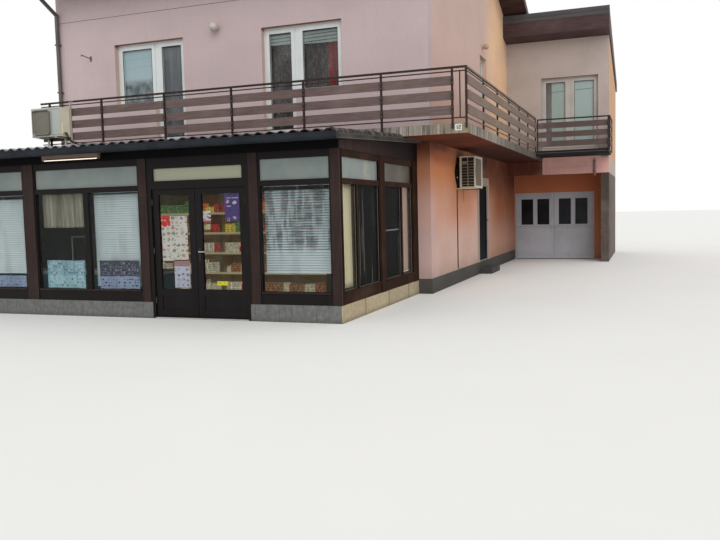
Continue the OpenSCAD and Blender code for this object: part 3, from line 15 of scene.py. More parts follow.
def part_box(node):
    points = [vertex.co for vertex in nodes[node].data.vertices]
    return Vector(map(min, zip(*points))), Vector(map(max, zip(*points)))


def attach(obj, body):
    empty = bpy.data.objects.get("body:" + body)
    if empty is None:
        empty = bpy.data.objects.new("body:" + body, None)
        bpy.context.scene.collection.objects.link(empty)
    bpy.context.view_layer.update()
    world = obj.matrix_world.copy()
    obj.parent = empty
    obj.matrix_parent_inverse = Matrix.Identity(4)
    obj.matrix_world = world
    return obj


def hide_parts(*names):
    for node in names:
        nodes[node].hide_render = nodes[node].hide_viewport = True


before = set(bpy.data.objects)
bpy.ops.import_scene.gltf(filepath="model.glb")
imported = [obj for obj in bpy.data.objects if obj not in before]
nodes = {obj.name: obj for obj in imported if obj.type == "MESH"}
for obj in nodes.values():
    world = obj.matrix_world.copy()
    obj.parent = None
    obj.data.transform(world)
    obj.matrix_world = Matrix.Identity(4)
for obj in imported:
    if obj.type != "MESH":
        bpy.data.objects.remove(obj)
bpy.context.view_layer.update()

# %% [markdown]
# ## Camera
# The photograph was taken by a person standing on the other side of the street, so the camera stands
# 1.7 m up with a slight tilt and roll. Its three axes are worked out from yaw, pitch and roll, because
# a matrix built from axes can't suffer from a wrong order of turns.

# %% Camera
YAW, PITCH, ROLL = -0.359070, 0.0783618, 0.0247803
CAMERA_AT = Vector((4.31, -10.671, 1.715))

forward = Vector((math.sin(YAW) * math.cos(PITCH), math.cos(YAW) * math.cos(PITCH), -math.sin(PITCH)))
level_right = Vector((math.cos(YAW), -math.sin(YAW), 0))
level_down = forward.cross(level_right)
right = level_right * math.cos(ROLL) + level_down * math.sin(ROLL)
down = level_down * math.cos(ROLL) - level_right * math.sin(ROLL)

camera_data = bpy.data.cameras.new("street_camera")
camera_data.sensor_fit, camera_data.sensor_width, camera_data.lens = "HORIZONTAL", 36, 38.31
camera_data.clip_end = 500
camera = bpy.data.objects.new("street_camera", camera_data)
bpy.context.collection.objects.link(camera)
axes = Matrix((right, -down, -forward)).transposed().to_4x4()
camera.matrix_world = Matrix.Translation(CAMERA_AT) @ axes
bpy.context.scene.camera = camera
print("camera looks", [round(v, 2) for v in forward])

# %% [markdown]
# ## Helpers for finishes
# A finish is a small net of shader nodes. Numbers that flow between nodes are wrapped so that plain
# `+ - * /` adds a Math node, and every other node comes from one method, `node`. Patterns read Object
# coordinates, which are metres here, so a grain of 4 mm is a noise of scale 250 everywhere.
# Colours are written as they look on a screen, from 0 to 255, and turned into light by `ink`.

# %% Shader maths
class Flow:
    """A value that flows from a node's socket."""

    def __init__(self, net, socket):
        self.net, self.socket = net, socket

    def math(self, operation, other=0.0):
        return self.net.node("Math", {"operation": operation}, {0: self, 1: other})

    def __add__(self, other):
        return self.math("ADD", other)

    def __sub__(self, other):
        return self.math("SUBTRACT", other)

    def __rsub__(self, other):
        return self.net.node("Math", {"operation": "SUBTRACT"}, {0: other, 1: self})

    def __mul__(self, other):
        return self.math("MULTIPLY", other)

    def __truediv__(self, other):
        return self.math("DIVIDE", other)

    def __gt__(self, other):
        return self.math("GREATER_THAN", other)

    def __lt__(self, other):
        return self.math("LESS_THAN", other)

    __radd__, __rmul__ = __add__, __mul__

    def fade(self, start, end):
        """0 before start, 1 after end, smooth between them; start may be the larger."""
        return self.net.node("MapRange", {"interpolation_type": "SMOOTHSTEP"},
                             {"Value": self, "From Min": start, "From Max": end})


def ink(colour):
    return tuple(c / 255 / 12.92 if c < 10.3 else ((c / 255 + 0.055) / 1.055) ** 2.4 for c in colour) + (1.0,)


def times(colour, share, more=0):
    """A colour made lighter or darker."""
    return tuple(min(255, c * share + more) for c in colour)


class Net:
    """A tree of shader nodes."""

    def __init__(self, tree):
        self.tree = tree

    def node(self, kind, settings=None, sockets=None, out=0):
        made = self.tree.nodes.new("ShaderNode" + kind)
        for key, value in (settings or {}).items():
            setattr(made, key, value)
        self.plug(made, sockets or {})
        return Flow(self, made.outputs[out])

    def plug(self, made, sockets):
        for key, value in sockets.items():
            if isinstance(value, Flow):
                self.tree.links.new(value.socket, made.inputs[key])
            else:
                made.inputs[key].default_value = value


SOCKETS = {"base": "Base Color", "rough": "Roughness", "metal": "Metallic", "coat": "Coat Weight",
           "alpha": "Alpha", "glow": "Emission Color", "glow_strength": "Emission Strength",
           "normal": "Normal", "specular": "Specular IOR Level", "sheen": "Sheen Weight"}


class Finish(Net):
    """A material and the nodes in it."""

    def __init__(self, name):
        self.material = bpy.data.materials.new(name)
        self.material.use_nodes = True
        super().__init__(self.material.node_tree)
        self.place = self.node("TexCoord", out="Object")
        self.x, self.y, self.z = (self.node("SeparateXYZ", {}, {0: self.place}, out=k) for k in range(3))

    def noise(self, scale, detail=3.0, stretch=(1, 1, 1), rough=0.55):
        spot = self.node("VectorMath", {"operation": "MULTIPLY"}, {0: self.place, 1: stretch})
        return self.node("TexNoise", {},
                         {"Vector": spot, "Scale": scale, "Detail": detail, "Roughness": rough})

    def chance(self, **where):
        """An even random number for each place: w for a line, vector for a plane."""
        key = "W" if "w" in where else "Vector"
        return self.node("TexWhiteNoise", {"noise_dimensions": "1D" if key == "W" else "2D"},
                         {key: where[key.lower()]})

    def facing_up(self):
        return self.node("SeparateXYZ", {}, {0: self.node("NewGeometry", out="Normal")}, out=2)

    def within(self, **spans):
        """1 inside the spans, each given as axis=(low, high) with None for an open end."""
        masks = []
        for axis, (low, high) in spans.items():
            masks += [] if low is None else [getattr(self, axis) > low]
            masks += [] if high is None else [getattr(self, axis) < high]
        return math.prod(masks)

    def blend(self, share, a, b):
        """Colour a turning into colour b as share goes from 0 to 1."""
        a, b = (ink(c) if isinstance(c, tuple) else c for c in (a, b))
        return self.node("Mix", {"data_type": "RGBA", "clamp_factor": True}, {0: share, 6: a, 7: b}, out=2)

    def pick(self, share, a, b):
        """Number a turning into number b."""
        return self.node("Mix", {"data_type": "FLOAT"}, {0: share, 2: a, 3: b})

    def layers(self, ground, *coats):
        """Lays colours over each other. A coat is (where, colour), and where is a share, spans for
        within() or a function of the finish."""
        for where, colour in coats:
            if isinstance(where, dict):
                where = self.within(**where)
            elif not isinstance(where, Flow):
                where = where(self)
            ground = self.blend(where, ground, colour)
        return ground

    def set(self, **values):
        shader = self.tree.nodes["Principled BSDF"]
        self.plug(shader, {SOCKETS[key]: ink(value) if isinstance(value, tuple) else value
                           for key, value in values.items()})
        return self.material

    def bump(self, height, distance, strength=1.0):
        return self.node("Bump", {}, {"Height": height, "Distance": distance, "Strength": strength})


def dress(finish, *names):
    """Gives loaded nodes their finish."""
    for name in names:
        nodes[name].data.materials.clear()
        nodes[name].data.materials.append(finish)


# %% [markdown]
# ## Helpers for modelling
# Everything new starts as a primitive at its place and is shaped by operators. An operator works on all
# that is selected, and the loaded nodes are still selected, so each helper begins by deselecting.

# %% Modelling helpers
def fresh():
    if bpy.context.mode != "OBJECT":
        bpy.ops.object.mode_set(mode="OBJECT")
    bpy.ops.object.select_all(action="DESELECT")


def only(piece):
    fresh()
    piece.select_set(True)
    bpy.context.view_layer.objects.active = piece
    return piece


def primitive(kind, **settings):
    fresh()
    getattr(bpy.ops.mesh, "primitive_" + kind + "_add")(**settings)
    return bpy.context.object


def settle(piece, name, **place):
    """Puts the piece's place into its mesh and names it; place sets location, rotation or scale first."""
    for key, value in place.items():
        setattr(piece, key, value)
    only(piece)
    bpy.ops.object.transform_apply(location=True, rotation=True, scale=True)
    piece.name = piece.data.name = name
    return piece


def on_all(operator, **settings):
    """Runs an edit operator on all of the active piece."""
    bpy.ops.object.mode_set(mode="EDIT")
    bpy.ops.mesh.select_all(action="SELECT")
    operator(**settings)
    bpy.ops.object.mode_set(mode="OBJECT")


def on_corners(piece, test, operator, **settings):
    """Runs a transform on the corners that pass a test of their place."""
    only(piece)
    bpy.ops.object.mode_set(mode="EDIT")
    bpy.ops.mesh.select_mode(type="VERT")
    bpy.ops.mesh.select_all(action="DESELECT")
    bpy.ops.object.mode_set(mode="OBJECT")
    for corner in piece.data.vertices:
        corner.select = bool(test(corner.co))
    bpy.ops.object.mode_set(mode="EDIT")
    operator(**settings)
    bpy.ops.object.mode_set(mode="OBJECT")


def smooth(degrees):
    bpy.ops.object.shade_smooth_by_angle(angle=math.radians(degrees))


def block(name, low, high, edge=0.003, segments=1):
    """A block between two corners with its edges eased."""
    low, high = Vector(low), Vector(high)
    piece = settle(primitive("cube", size=1, location=(low + high) / 2), name, scale=high - low)
    if edge:
        on_all(bpy.ops.mesh.bevel, offset=edge, segments=segments, affect="EDGES")
    return piece


def rod(name, start, end, radius, sides=12):
    """A round bar between two points."""
    start, end = Vector(start), Vector(end)
    run = end - start
    piece = settle(primitive("cylinder", vertices=sides, radius=radius, depth=run.length,
                             location=(start + end) / 2,
                             rotation=run.to_track_quat("Z", "Y").to_euler()), name)
    smooth(40)
    return piece


def copies(piece, moves):
    """Copies of a piece, each with a mesh of its own, moved by the given steps."""
    made = []
    for move in moves:
        twin = piece.copy()
        twin.data = piece.data.copy()
        twin.data.transform(Matrix.Translation(Vector(move)))
        bpy.context.collection.objects.link(twin)
        made.append(twin)
    return made


def join(name, pieces):
    """Many pieces made one."""
    fresh()
    for piece in pieces:
        piece.select_set(True)
    bpy.context.view_layer.objects.active = whole = pieces[0]
    if len(pieces) > 1:
        bpy.ops.object.join()
    whole.name = whole.data.name = name
    return whole


def use_modifier(piece, kind, **settings):
    """Adds a modifier, sets it and applies it."""
    only(piece)
    modifier = piece.modifiers.new(kind.title(), kind)
    for key, value in settings.items():
        setattr(modifier, key, value)
    bpy.ops.object.modifier_apply(modifier=modifier.name)
    return piece


def repeat(piece, count, step):
    """A row of copies at equal steps, in one mesh."""
    return use_modifier(piece, "ARRAY", count=count, use_relative_offset=False,
                        use_constant_offset=True, constant_offset_displace=step)


def mount(piece, finish, body="building"):
    """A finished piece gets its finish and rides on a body."""
    piece.data.materials.clear()
    piece.data.materials.append(finish)
    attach(piece, body)
    print(piece.name, len(piece.data.polygons), "faces on", body)
    return piece


def build(name, finish, blocks=(), rods=(), body="building"):
    """Mounts one piece made of blocks and rods, each given by the settings of its helper."""
    parts = [block(name, *settings) for settings in blocks] + [rod(name, *settings) for settings in rods]
    return mount(join(name, parts), finish, body)


# %% [markdown]
# ## Light and floor
# An overcast sky lights a street almost evenly. The world gives that even part, and one wide sun from
# the front and above adds just enough direction for boards and rails to cast a soft shadow.
# Only rays that reach the background directly, or by gloss or through glass, see it as white.
# The floor is a plain pale ground that only catches the shadow of the house. It rides on no body,
# so it never becomes part of the building.

# %% World, sun and floor
SKY_LIGHT = 0.78
world = bpy.data.worlds.new("even_sky")
world.use_nodes = True
bpy.context.scene.world = world
sky = Net(world.node_tree)
camera_ray, through_ray, gloss_ray = (sky.node("LightPath", out="Is %s Ray" % kind)
                                      for kind in ("Camera", "Transmission", "Glossy"))
seen = camera_ray.math("MAXIMUM", through_ray).math("MAXIMUM", gloss_ray)
sky.plug(world.node_tree.nodes["Background"], {"Strength": seen * (1.0 - SKY_LIGHT) + SKY_LIGHT,
                                               "Color": (1, 1, 1, 1)})

sun_data = bpy.data.lights.new("veiled_sun", "SUN")
sun_data.energy, sun_data.angle, sun_data.color = 1.35, 1.0, (1.0, 0.985, 0.96)
sun = bpy.data.objects.new("veiled_sun", sun_data)
sun.rotation_euler = Euler((math.radians(52), 0, math.radians(28)))
bpy.context.collection.objects.link(sun)
bpy.context.scene.view_settings.view_transform = "Standard"

floor = settle(primitive("circle", vertices=64, radius=150, fill_type="NGON", location=(-2, 6, -0.002)),
               "pale_floor")
pale = Finish("pale_floor")
floor.data.materials.append(pale.set(base=pale.blend(pale.noise(0.4), (232, 232, 230), (238, 238, 236)),
                                     rough=0.9, specular=0.2))
print("sky light", SKY_LIGHT, "sun", sun_data.energy)

# %% [markdown]
# ## Render on the walls
# The front is a greyish pink render, the side an orange one that fades to salmon low down, and the
# wing walls are pale. Old render is never one colour: broad clouds come from damp, narrow streaks run
# down from every ledge, and the grain is a fine sand. The same recipe makes all of them from colours at
# given heights, and patches change the colour in given places. The dark orange-brown at the top of the
# walls just under the balcony slab, and the patches noted below as such, are painted shade; one patch
# noted below is painted light.

# %% Render recipe
def rendered(name, levels, stain, cloud=0.5, streaks=0.5, damp=None, patches=()):
    """levels holds (height, colour) pairs from the foot up; damp is where a dark foot fades out."""
    finish = Finish(name)
    ground = finish.layers(levels[0][1], *[(finish.z.fade(low[0], high[0]), high[1])
                                           for low, high in zip(levels, levels[1:])])
    ground = finish.layers(ground, *patches)
    ground = finish.layers(
        ground, (finish.noise(0.9, 6, (1, 1, 1.3), 0.6).fade(0.42, 0.68) * cloud * 0.45, stain),
        (finish.noise(3.2, 5, (3.2, 3.2, 0.16), 0.6).fade(0.52, 0.8) * streaks * 0.4, stain),
        (finish.noise(60, 3).fade(0.35, 0.7) * 0.14, times(stain, 0.8)))
    if damp:
        low = finish.z.fade(*damp) * (finish.noise(1.7, 5).fade(0.25, 0.75) * 0.6 + 0.4)
        ground = finish.blend(low * 0.4, ground, (104, 98, 92))
    sand = finish.noise(190, 4) + finish.noise(26, 3) * 0.8
    return finish.set(base=ground, rough=finish.noise(35).fade(0, 1) * 0.15 + 0.8, specular=0.25,
                      normal=finish.bump(sand, 0.0022, 0.55))


# %% Walls
REVEAL = {"x": (None, 0.1), "y": (4.1578, 4.30)}
SLAB_TOP, PORCH_TOP, BEAM_TOP = 3.2, 2.64, 3.10
WING_FRONT = (None, 13.3)
PILLAR = {"x": (3.0, None), "z": (None, PORCH_TOP)}
# The dark orange-brown levels at 2.98 and 3.036 m, just under the balcony slab, are painted shade.
dress(rendered(
    "pink_render", [(0.9, (204, 174, 168)), (1.7, (206, 164, 152)), (2.5, (206, 136, 98)),
                    (2.98, (110, 58, 32)), (3.036, (84, 42, 24)), (3.06, (199, 180, 182)),
                    (6.4, (197, 178, 180))],
    (170, 154, 154), 0.5, 0.45, (0.7, 0.3), (
        (dict(REVEAL, z=(SLAB_TOP, None)), (214, 186, 172)), (dict(REVEAL, z=(5.55, None)), (172, 122, 96)),
        ({"y": (4.1575, None), "z": (6.239, 6.2515)}, (104, 84, 82)),
        ({"x": (None, -8.7395), "y": (4.17, None)}, (198, 174, 168)),
        (lambda wall: wall.within(x=(None, -8.66), z=(SLAB_TOP, None), y=(None, 4.25))
         * wall.noise(1.4, 3, (1, 1, 0.4)).fade(0.4, 0.6), (216, 180, 164)))), "house_front_wall")
# On the side walls the levels at 2.78 and 3.0 m darken into painted shade under the balcony slab. The first
# two patches are painted shade as well: the wall darkening from 8.8 m back towards the porch, and the dark
# upper wall from 6.4 m back, round the outdoor unit and over the side door. The third patch keeps the foot of
# that back part at a lighter wall colour.
dress(rendered(
    "salmon_render", [(0.9, (208, 176, 164)), (1.7, (214, 162, 140)), (2.5, (218, 138, 86)),
                      (2.78, (170, 92, 50)), (3.0, (92, 46, 26))], (176, 132, 112), 0.45, 0.5, (0.7, 0.3), (
        (lambda wall: wall.y.fade(8.8, 11.6), (146, 84, 52)),
        (lambda wall: wall.z.fade(1.7, 2.6) * wall.y.fade(6.4, 8.6) * 0.8, (92, 44, 26)),
        (lambda wall: (wall.y > 8.7) * wall.z.fade(1.8, 0.7) * 0.65, (192, 152, 134)),
        (lambda wall: wall.y.fade(5.0, 6.4) * wall.y.fade(8.6, 7.4) * wall.z.fade(1.0, 1.8) * 0.6,
         (190, 122, 84)))), "side_wall_front", "side_wall_rear")
# On the upper side wall the first patch, lighter from 9.2 m back, is painted light; the two patches below
# 3.03 m, dark under the balcony slab, are painted shade.
dress(rendered(
    "orange_render", [(3.0, (212, 172, 150)), (4.6, (208, 178, 168)), (6.6, (204, 178, 170))],
    (186, 156, 142), 0.5, 0.5, None, (
        (lambda wall: wall.y.fade(9.2, 11.4), (246, 204, 164)), ({"z": (None, 3.0295)}, (104, 60, 38)),
        (lambda wall: wall.z.fade(2.6, 2.9) * (wall.z < 3.0295), (64, 34, 22)))), "side_wall_upper")
dress(rendered(
    "wing_render", [(3.2, (184, 172, 166)), (6.2, (184, 172, 167))], (152, 140, 132), 0.6, 0.7, (0.8, 0.0), (
        (dict(PILLAR, y=(None, 18.1)), (98, 86, 80)),
        (lambda wall: wall.within(**PILLAR) * wall.y.fade(15.6, 13.5), (72, 62, 58)),
        ({"y": WING_FRONT, "z": (PORCH_TOP, BEAM_TOP)}, (236, 182, 174)),
        (lambda wall: wall.within(y=WING_FRONT, z=(BEAM_TOP, None)) * wall.z.fade(3.9, 3.4) * 0.7,
         (132, 122, 116)),
        (lambda wall: (wall.x > 3.2575) * wall.z.fade(2.9, 3.3), (206, 162, 126)))), "wing_walls",
      "wing_front_wall")
for name, levels, stain, cloud, streaks, damp, patches, dressed in (
        ("garage_render", [(0.4, (180, 118, 86)), (2.6, (186, 112, 76))], (136, 88, 66), 0.5, 0.5, (0.6, 0.0),
         (), ("garage_wall",)),
        ("shop_end_render", [(0.4, (166, 154, 144)), (2.4, (176, 166, 158))], (132, 120, 110), 0.6, 0.7,
         (0.8, 0.0), (), ("shop_left_wall",)),
        # The porch beam's dark end under the front balcony slab, below x = 1.34 m, is painted shade.
        ("porch_beam", [(2.6, (236, 182, 174)), (3.0, (246, 194, 186))], (176, 138, 132), 0.6, 0.9, None,
         ((lambda wall: wall.x.fade(1.36, 1.32), (98, 48, 30)),), ("wing_floor",)),
        ("party_render", [(0.4, (186, 166, 160)), (3.0, (194, 176, 174)), (6.4, (190, 172, 172))],
         (156, 142, 140), 0.7, 0.8, (0.9, 0.2), (), ("house_left_wall", "house_rear_wall"))):
    dress(rendered(name, levels, stain, cloud, streaks, damp, patches), *dressed)
base_grey = rendered("base_grey", [(0.0, (74, 72, 70)), (0.3, (80, 78, 75))], (52, 50, 48), 0.8, 0.7)
dress(base_grey, "base_course")
print("render on", sum(1 for m in bpy.data.materials if "render" in m.name), "kinds of wall")

# %% [markdown]
# ## Stained wood and coated boards
# The shop frames are dark brown coated metal with a faint sheen; their outer boards read lighter where
# dust lies on them. Railing boards are mauve-brown planks with a long grain. A single recipe makes
# boards of any direction: the noise is stretched along the board's run.

# %% Board recipe
def boarded(name, colour, dark, run=(1, 1, 1), rough=0.55, worn=(150, 140, 134), wear=0.25, shine=0.14,
            patches=()):
    """run holds how much finer the grain is on each axis; a patch is (where, colour, how much lighter
    its bright grain is)."""
    finish = Finish(name)
    grain = finish.noise(9, 6, run, 0.62)
    fine = finish.noise(60, 4, run)
    ground = finish.layers(finish.blend(grain.fade(0.3, 0.72), dark, colour),
                           (finish.noise(1.3, 5, (1, 1, 1.4)).fade(0.45, 0.75) * wear, worn),
                           (fine.fade(0.55, 0.8) * 0.25, times(dark, 0.75)))
    for where, tone, lift in patches:
        ground = finish.layers(ground, (where, finish.blend(grain.fade(0.3, 0.7), tone, times(tone, lift))))
    return finish.set(base=ground, rough=grain * 0.25 + rough - 0.1, specular=shine,
                      normal=finish.bump(grain + fine * 0.6, 0.0015, 0.4))


UPRIGHT, FRAME_RUN = (0.3, 0.3, 4), (2, 2, 0.2)
rail_dark = (46, 36, 34)
shelf_wood = boarded("shelf_wood", (206, 186, 140), (182, 160, 116), (0.4, 3, 3), 0.6, (220, 206, 170), 0.3)
dress(shelf_wood, "shop_shelves")
dress(boarded("frame_brown", (54, 39, 36), (38, 28, 26), FRAME_RUN, 0.42, (68, 54, 48), 0.25, patches=(
    ({"y": (-0.0005, None), "x": (None, -0.0005)}, (20, 16, 16), 1.2),)), "shop_front_frame",
      "shop_door_frame")
dress(boarded("side_frame_brown", (60, 39, 31), (38, 25, 20), FRAME_RUN, 0.42, (96, 78, 64), 0.3, 0.01, (
    ({"x": (None, -0.0005)}, (26, 19, 18), 1.2),
    ({"x": (0.016, None), "z": (0.4695, None)}, (50, 34, 28), 1.2))),
      "shop_side_frame")
dress(boarded("door_brown", (24, 20, 21), (17, 14, 15), FRAME_RUN, 0.35, (38, 34, 34), 0.15),
      "shop_door_left", "shop_door_right")
for side, colour, dark, run, worn, wear, axis, post in (
        ("front", (118, 101, 98), (94, 79, 76), (0.35, 6, 6), (140, 124, 120), 0.3, "y", 2.8365),
        ("side", (132, 114, 102), (106, 89, 80), (6, 0.35, 6), (150, 136, 126), 0.3, "x", 1.3428),
        ("rear", (100, 86, 82), (80, 66, 64), (0.35, 6, 6), (136, 128, 124), 0.35, "y", 11.7995)):
    dress(boarded(side + "_rail_boards", colour, dark, run, 0.6, worn, wear,
                  patches=(({axis: (None, post)}, rail_dark, 1.25),)), side + "_railing")
dress(boarded("trim_brown", (82, 60, 58), (58, 43, 42), UPRIGHT, 0.55, (104, 88, 84), 0.3), "roof_trim")
dress(boarded("side_door_stain", (11, 13, 16), (7, 8, 10), (3, 3, 0.3), 0.5, (22, 24, 27), 0.2, 0.06),
      "side_door")
dress(boarded("wing_fascia", (84, 64, 64), (60, 47, 48), UPRIGHT, 0.55, (104, 88, 88), 0.3, patches=(
    ({"z": (7.089, None)}, (70, 68, 70), 1.25),)), "wing_fascia")

# %% [markdown]
# Under the front eave everything is painted nearly black: that is painted shade, as the boards there are
# the same brown as round the corner. The boards that close the side below the rising roof are brown,
# streaked from top to bottom and darker towards the house. They are one node, so place tells them apart.

# %% Eave boards
eave = Finish("eave_boards")
streak = eave.noise(7, 5, (4, 4, 0.12), 0.65)
seam_line = ((eave.y * 7.1).math("FRACT") < 0.03) * (eave.y > 0.09)
# black, on the front, is painted shade of the eave over the boards' brown.
black = eave.blend(streak.fade(0.3, 0.7), (6, 5, 7), (14, 12, 13))
brown = eave.layers(eave.blend(streak.fade(0.35, 0.68), (40, 28, 26), (70, 52, 46)),
                    (eave.y.fade(0.6, 3.0) * 0.85, (20, 13, 15)), (seam_line, (24, 18, 17)))
dress(eave.set(base=eave.blend(eave.x.fade(-0.06, 0.0) * (eave.y > 0.02), black, brown),
               rough=streak * 0.2 + 0.5,
               specular=0.08, normal=eave.bump(streak * 0.4 - seam_line * 1.0, 0.002, 0.5)), "shop_fascia")

# %% [markdown]
# ## Sheet metal, plastic and enamel
# These share another recipe: an even colour with a little dirt that gathers in clouds and runs, and a
# roughness that varies, so that highlights break up.

# %% Coated recipe
def coated(name, colour, dirt, amount=0.3, rough=0.35, metal=0.0, scale=2.0, bump=0.0, patches=(), shine=0.4):
    finish = Finish(name)
    cloud = finish.noise(scale, 6, (1, 1, 0.8), 0.6).fade(0.4, 0.75)
    runs = finish.noise(scale * 4, 4, (3, 3, 0.15)).fade(0.5, 0.8)
    dust = finish.noise(90, 3).fade(0.45, 0.8)
    ground = finish.layers(colour, (cloud * amount, dirt), (runs * amount * 0.8, dirt), *patches,
                           (dust * 0.12, times(dirt, 0.85)))
    return finish.set(base=ground, rough=cloud * 0.2 + rough, metal=metal, specular=shine,
                      normal=finish.bump(finish.noise(14, 3) + finish.noise(120, 2) * 0.3,
                                         0.0006 + bump, 0.3))


def fan_well(finish, across, mid, height, radius, **spans):
    """1 inside a circle on a face, for a fan's well."""
    a, b = getattr(finish, across) - mid, finish.z - height
    return finish.within(**spans) * ((a * a + b * b) < radius * radius)


def slots(unit):
    """The coil slots in the end of the unit on the side wall, whose near black is painted shade of the
    hollow.
    """
    return unit.within(y=(6.3965, 6.45), z=(2.176, 2.826)) * (unit.within(x=(0.406, 0.540))
                                                              + unit.within(x=(0.549, 0.684)))


# %% Coated nodes
LEAF_FACE = 14.402
roof_sheet = coated("roof_sheet", (78, 84, 96), (56, 58, 64), 0.5, 0.45, 0.1, patches=(
    (lambda sheet: sheet.facing_up() < -0.5, (70, 50, 54)),))
window_white = coated("window_white", (216, 222, 222), (176, 180, 178), 0.3, 0.3)
garage_white = coated("garage_white", (176, 177, 184), (134, 132, 134), 0.3, 0.4, shine=0.2, patches=(
    ({"y": (LEAF_FACE, 14.44), "z": (1.101, 1.919)}, (26, 26, 30)),
    ({"y": (None, LEAF_FACE), "z": (1.046, 1.053)}, (112, 112, 118)),
    ({"y": (None, LEAF_FACE), "z": (0.988, 0.994)}, (122, 122, 128))))
unit_cream = coated("unit_cream", (240, 236, 210), (200, 192, 164), 0.4, 0.38, patches=(
    ({"y": (None, 2.4925)}, (176, 182, 179)),
    (lambda unit: fan_well(unit, "x", -7.8064, 3.735, 0.233, y=(2.4925, 2.60)), (58, 58, 54))))
unit_weathered = coated("unit_weathered", (206, 200, 182), (150, 142, 126), 0.5, 0.45, patches=(
    # The coil slots are painted near black: painted shade of the hollow behind the louvres.
    (slots, (15, 13, 11)),
    (lambda unit: fan_well(unit, "y", 6.692, 2.5, 0.271, x=(0.60, 0.7065)), (52, 46, 40)),
    ({"y": (None, 6.42), "z": (None, 2.12)}, (84, 56, 48)),
    ({"y": (6.42, None), "z": (None, 2.115)}, (210, 150, 122)),
    ({"y": (6.5, None), "z": (2.115, 2.144)}, (60, 48, 42))))
bright_metal = coated("bright_metal", (190, 192, 194), (130, 128, 124), 0.3, 0.25, 0.9)
handle_metal = coated("handle_metal", (200, 202, 204), (130, 128, 124), 0.3, 0.3, 0.6, patches=(
    ({"y": (0.0175, 0.0885)}, (44, 42, 42)),))
blind_white = coated("blind_white", (214, 230, 232), (182, 196, 198), 0.25, 0.5)
lamp_white = coated("lamp_white", (214, 206, 188), (170, 160, 140), 0.3, 0.4)
clay = coated("clay_tile", (96, 84, 82), (62, 56, 56), 0.7, 0.6, scale=3.0, bump=0.001)
dress(roof_sheet, "shop_roof", "wing_roof")
dress(window_white, "upper_windows")
dress(garage_white, "garage_door_left", "garage_door_right", "garage_frame")
dress(unit_cream, "ac_unit_front")
dress(unit_weathered, "ac_unit_side")
dress(handle_metal, "shop_door_handle")
dress(blind_white, "shop_blinds", "shop_curtains")
dress(clay, "main_roof")
dress(coated("roof_gutter_metal", (92, 88, 88), (62, 60, 62), 0.5, 0.45, 0.1), "roof_gutters")
dress(coated("wing_window_white", (186, 182, 178), (150, 142, 136), 0.35, 0.35), "wing_doors")
dress(coated("side_door_white", (166, 152, 142), (128, 116, 106), 0.35, 0.4), "side_door_frame")
dress(coated("globe_grey", (196, 190, 182), (140, 134, 126), 0.4, 0.3,
             patches=(({"x": (0.0, None)}, (186, 160, 128)),)),
      "wall_lamps")
dress(coated("lamp_tray", (132, 114, 100), (96, 82, 72), 0.4, 0.5, shine=0.2), "eave_lamps")
print("coated finishes", len(bpy.data.materials))

# %% [markdown]
# The front gutter is slate blue, and the folded strip on the side edge of the roof has aged to olive
# grey; the lighter colour on its outer folds is a painted highlight.

# %% Gutter and verge strip
metal = Finish("gutter_and_verge")
cloud = metal.noise(2.2, 5, (1, 1, 0.8)).fade(0.35, 0.75)
blue = metal.blend(cloud, (32, 37, 45), (20, 23, 27))
# Beyond x = 0.1405 the strip's folds are lighter: a painted highlight.
olive = metal.layers(metal.blend(cloud, (56, 54, 50), (36, 35, 34)), ({"x": (0.1405, None)}, (84, 80, 74)))
dress(metal.set(base=metal.layers(blue, ({"x": (0.1302, None), "y": (-0.4005, None)}, olive)),
                rough=cloud * 0.2 + 0.4, metal=0.1, specular=0.2,
                normal=metal.bump(metal.noise(12, 3), 0.0008, 0.4)), "shop_gutter")

# %% [markdown]
# ## Floors
# The shop, the hall and the garage have a tiled floor of small squares with thin joints; each tile gets a
# tone of its own. It only shows when a door stands open.

# %% Tiled floor
TILES_A_METRE, JOINT = 3.02, 0.02
tiled = Finish("floor_tiles")
across, along = tiled.x * TILES_A_METRE, tiled.y * TILES_A_METRE
gap = (across.math("FRACT") < JOINT) + (along.math("FRACT") < JOINT)
own_tone = tiled.chance(vector=tiled.node("CombineXYZ", {},
                                          {0: across.math("FLOOR"), 1: along.math("FLOOR")}))
base = tiled.layers(tiled.blend(tiled.noise(12, 5).fade(0.3, 0.7), (150, 142, 130), (168, 160, 148)),
                    (own_tone * 0.25, (126, 118, 108)), (gap, (88, 82, 76)))
dress(tiled.set(base=base, rough=own_tone * 0.1 + 0.45, specular=0.35,
                normal=tiled.bump(1 - gap, 0.001, 0.5)),
      "ground_floor", "upper_floors")

# %% [markdown]
# ## Concrete and plinth tiles
# The balcony edge is bare concrete with dark drips and pale lime streaks, drawn by a noise stretched far
# along the height. Its soffit was painted with the wall; its dark orange-brown, darker further back, is
# painted shade. A dark metal edge closes its rear part, and the thin light band along its top is a
# painted highlight.

# %% Concrete
SLAB_SIDE, SOFFIT_JOINT = 1.3425, 6.15
slab = Finish("balcony_concrete")
drip = slab.noise(6.5, 6, (2.6, 2.6, 0.12), 0.7).fade(0.47, 0.6)
lime = slab.noise(5.3, 6, (2.2, 2.2, 0.12), 0.7).fade(0.5, 0.64)
side_edge = slab.x > SLAB_SIDE
corner = slab.x.fade(0.5, 1.3) * slab.y.fade(3.6, 2.85) * slab.noise(3.2, 5).fade(0.38, 0.6)
facing = slab.facing_up()
# The soffit's dark orange-brown, darker from 4.4 m back, is painted shade over the wall's orange paint; the
# dark line marks the joint.
soffit = slab.layers(slab.blend(slab.noise(1.1, 5).fade(0.3, 0.7), (116, 52, 24), (86, 38, 19)),
                     (slab.y.fade(4.4, 7.5) * 0.8, (48, 22, 13)),
                     ((slab.y - SOFFIT_JOINT).math("ABSOLUTE") < 0.02, (30, 18, 14)))
drip_edge = slab.within(y=(11.2, None), x=(1.344, None), z=(None, 3.262))
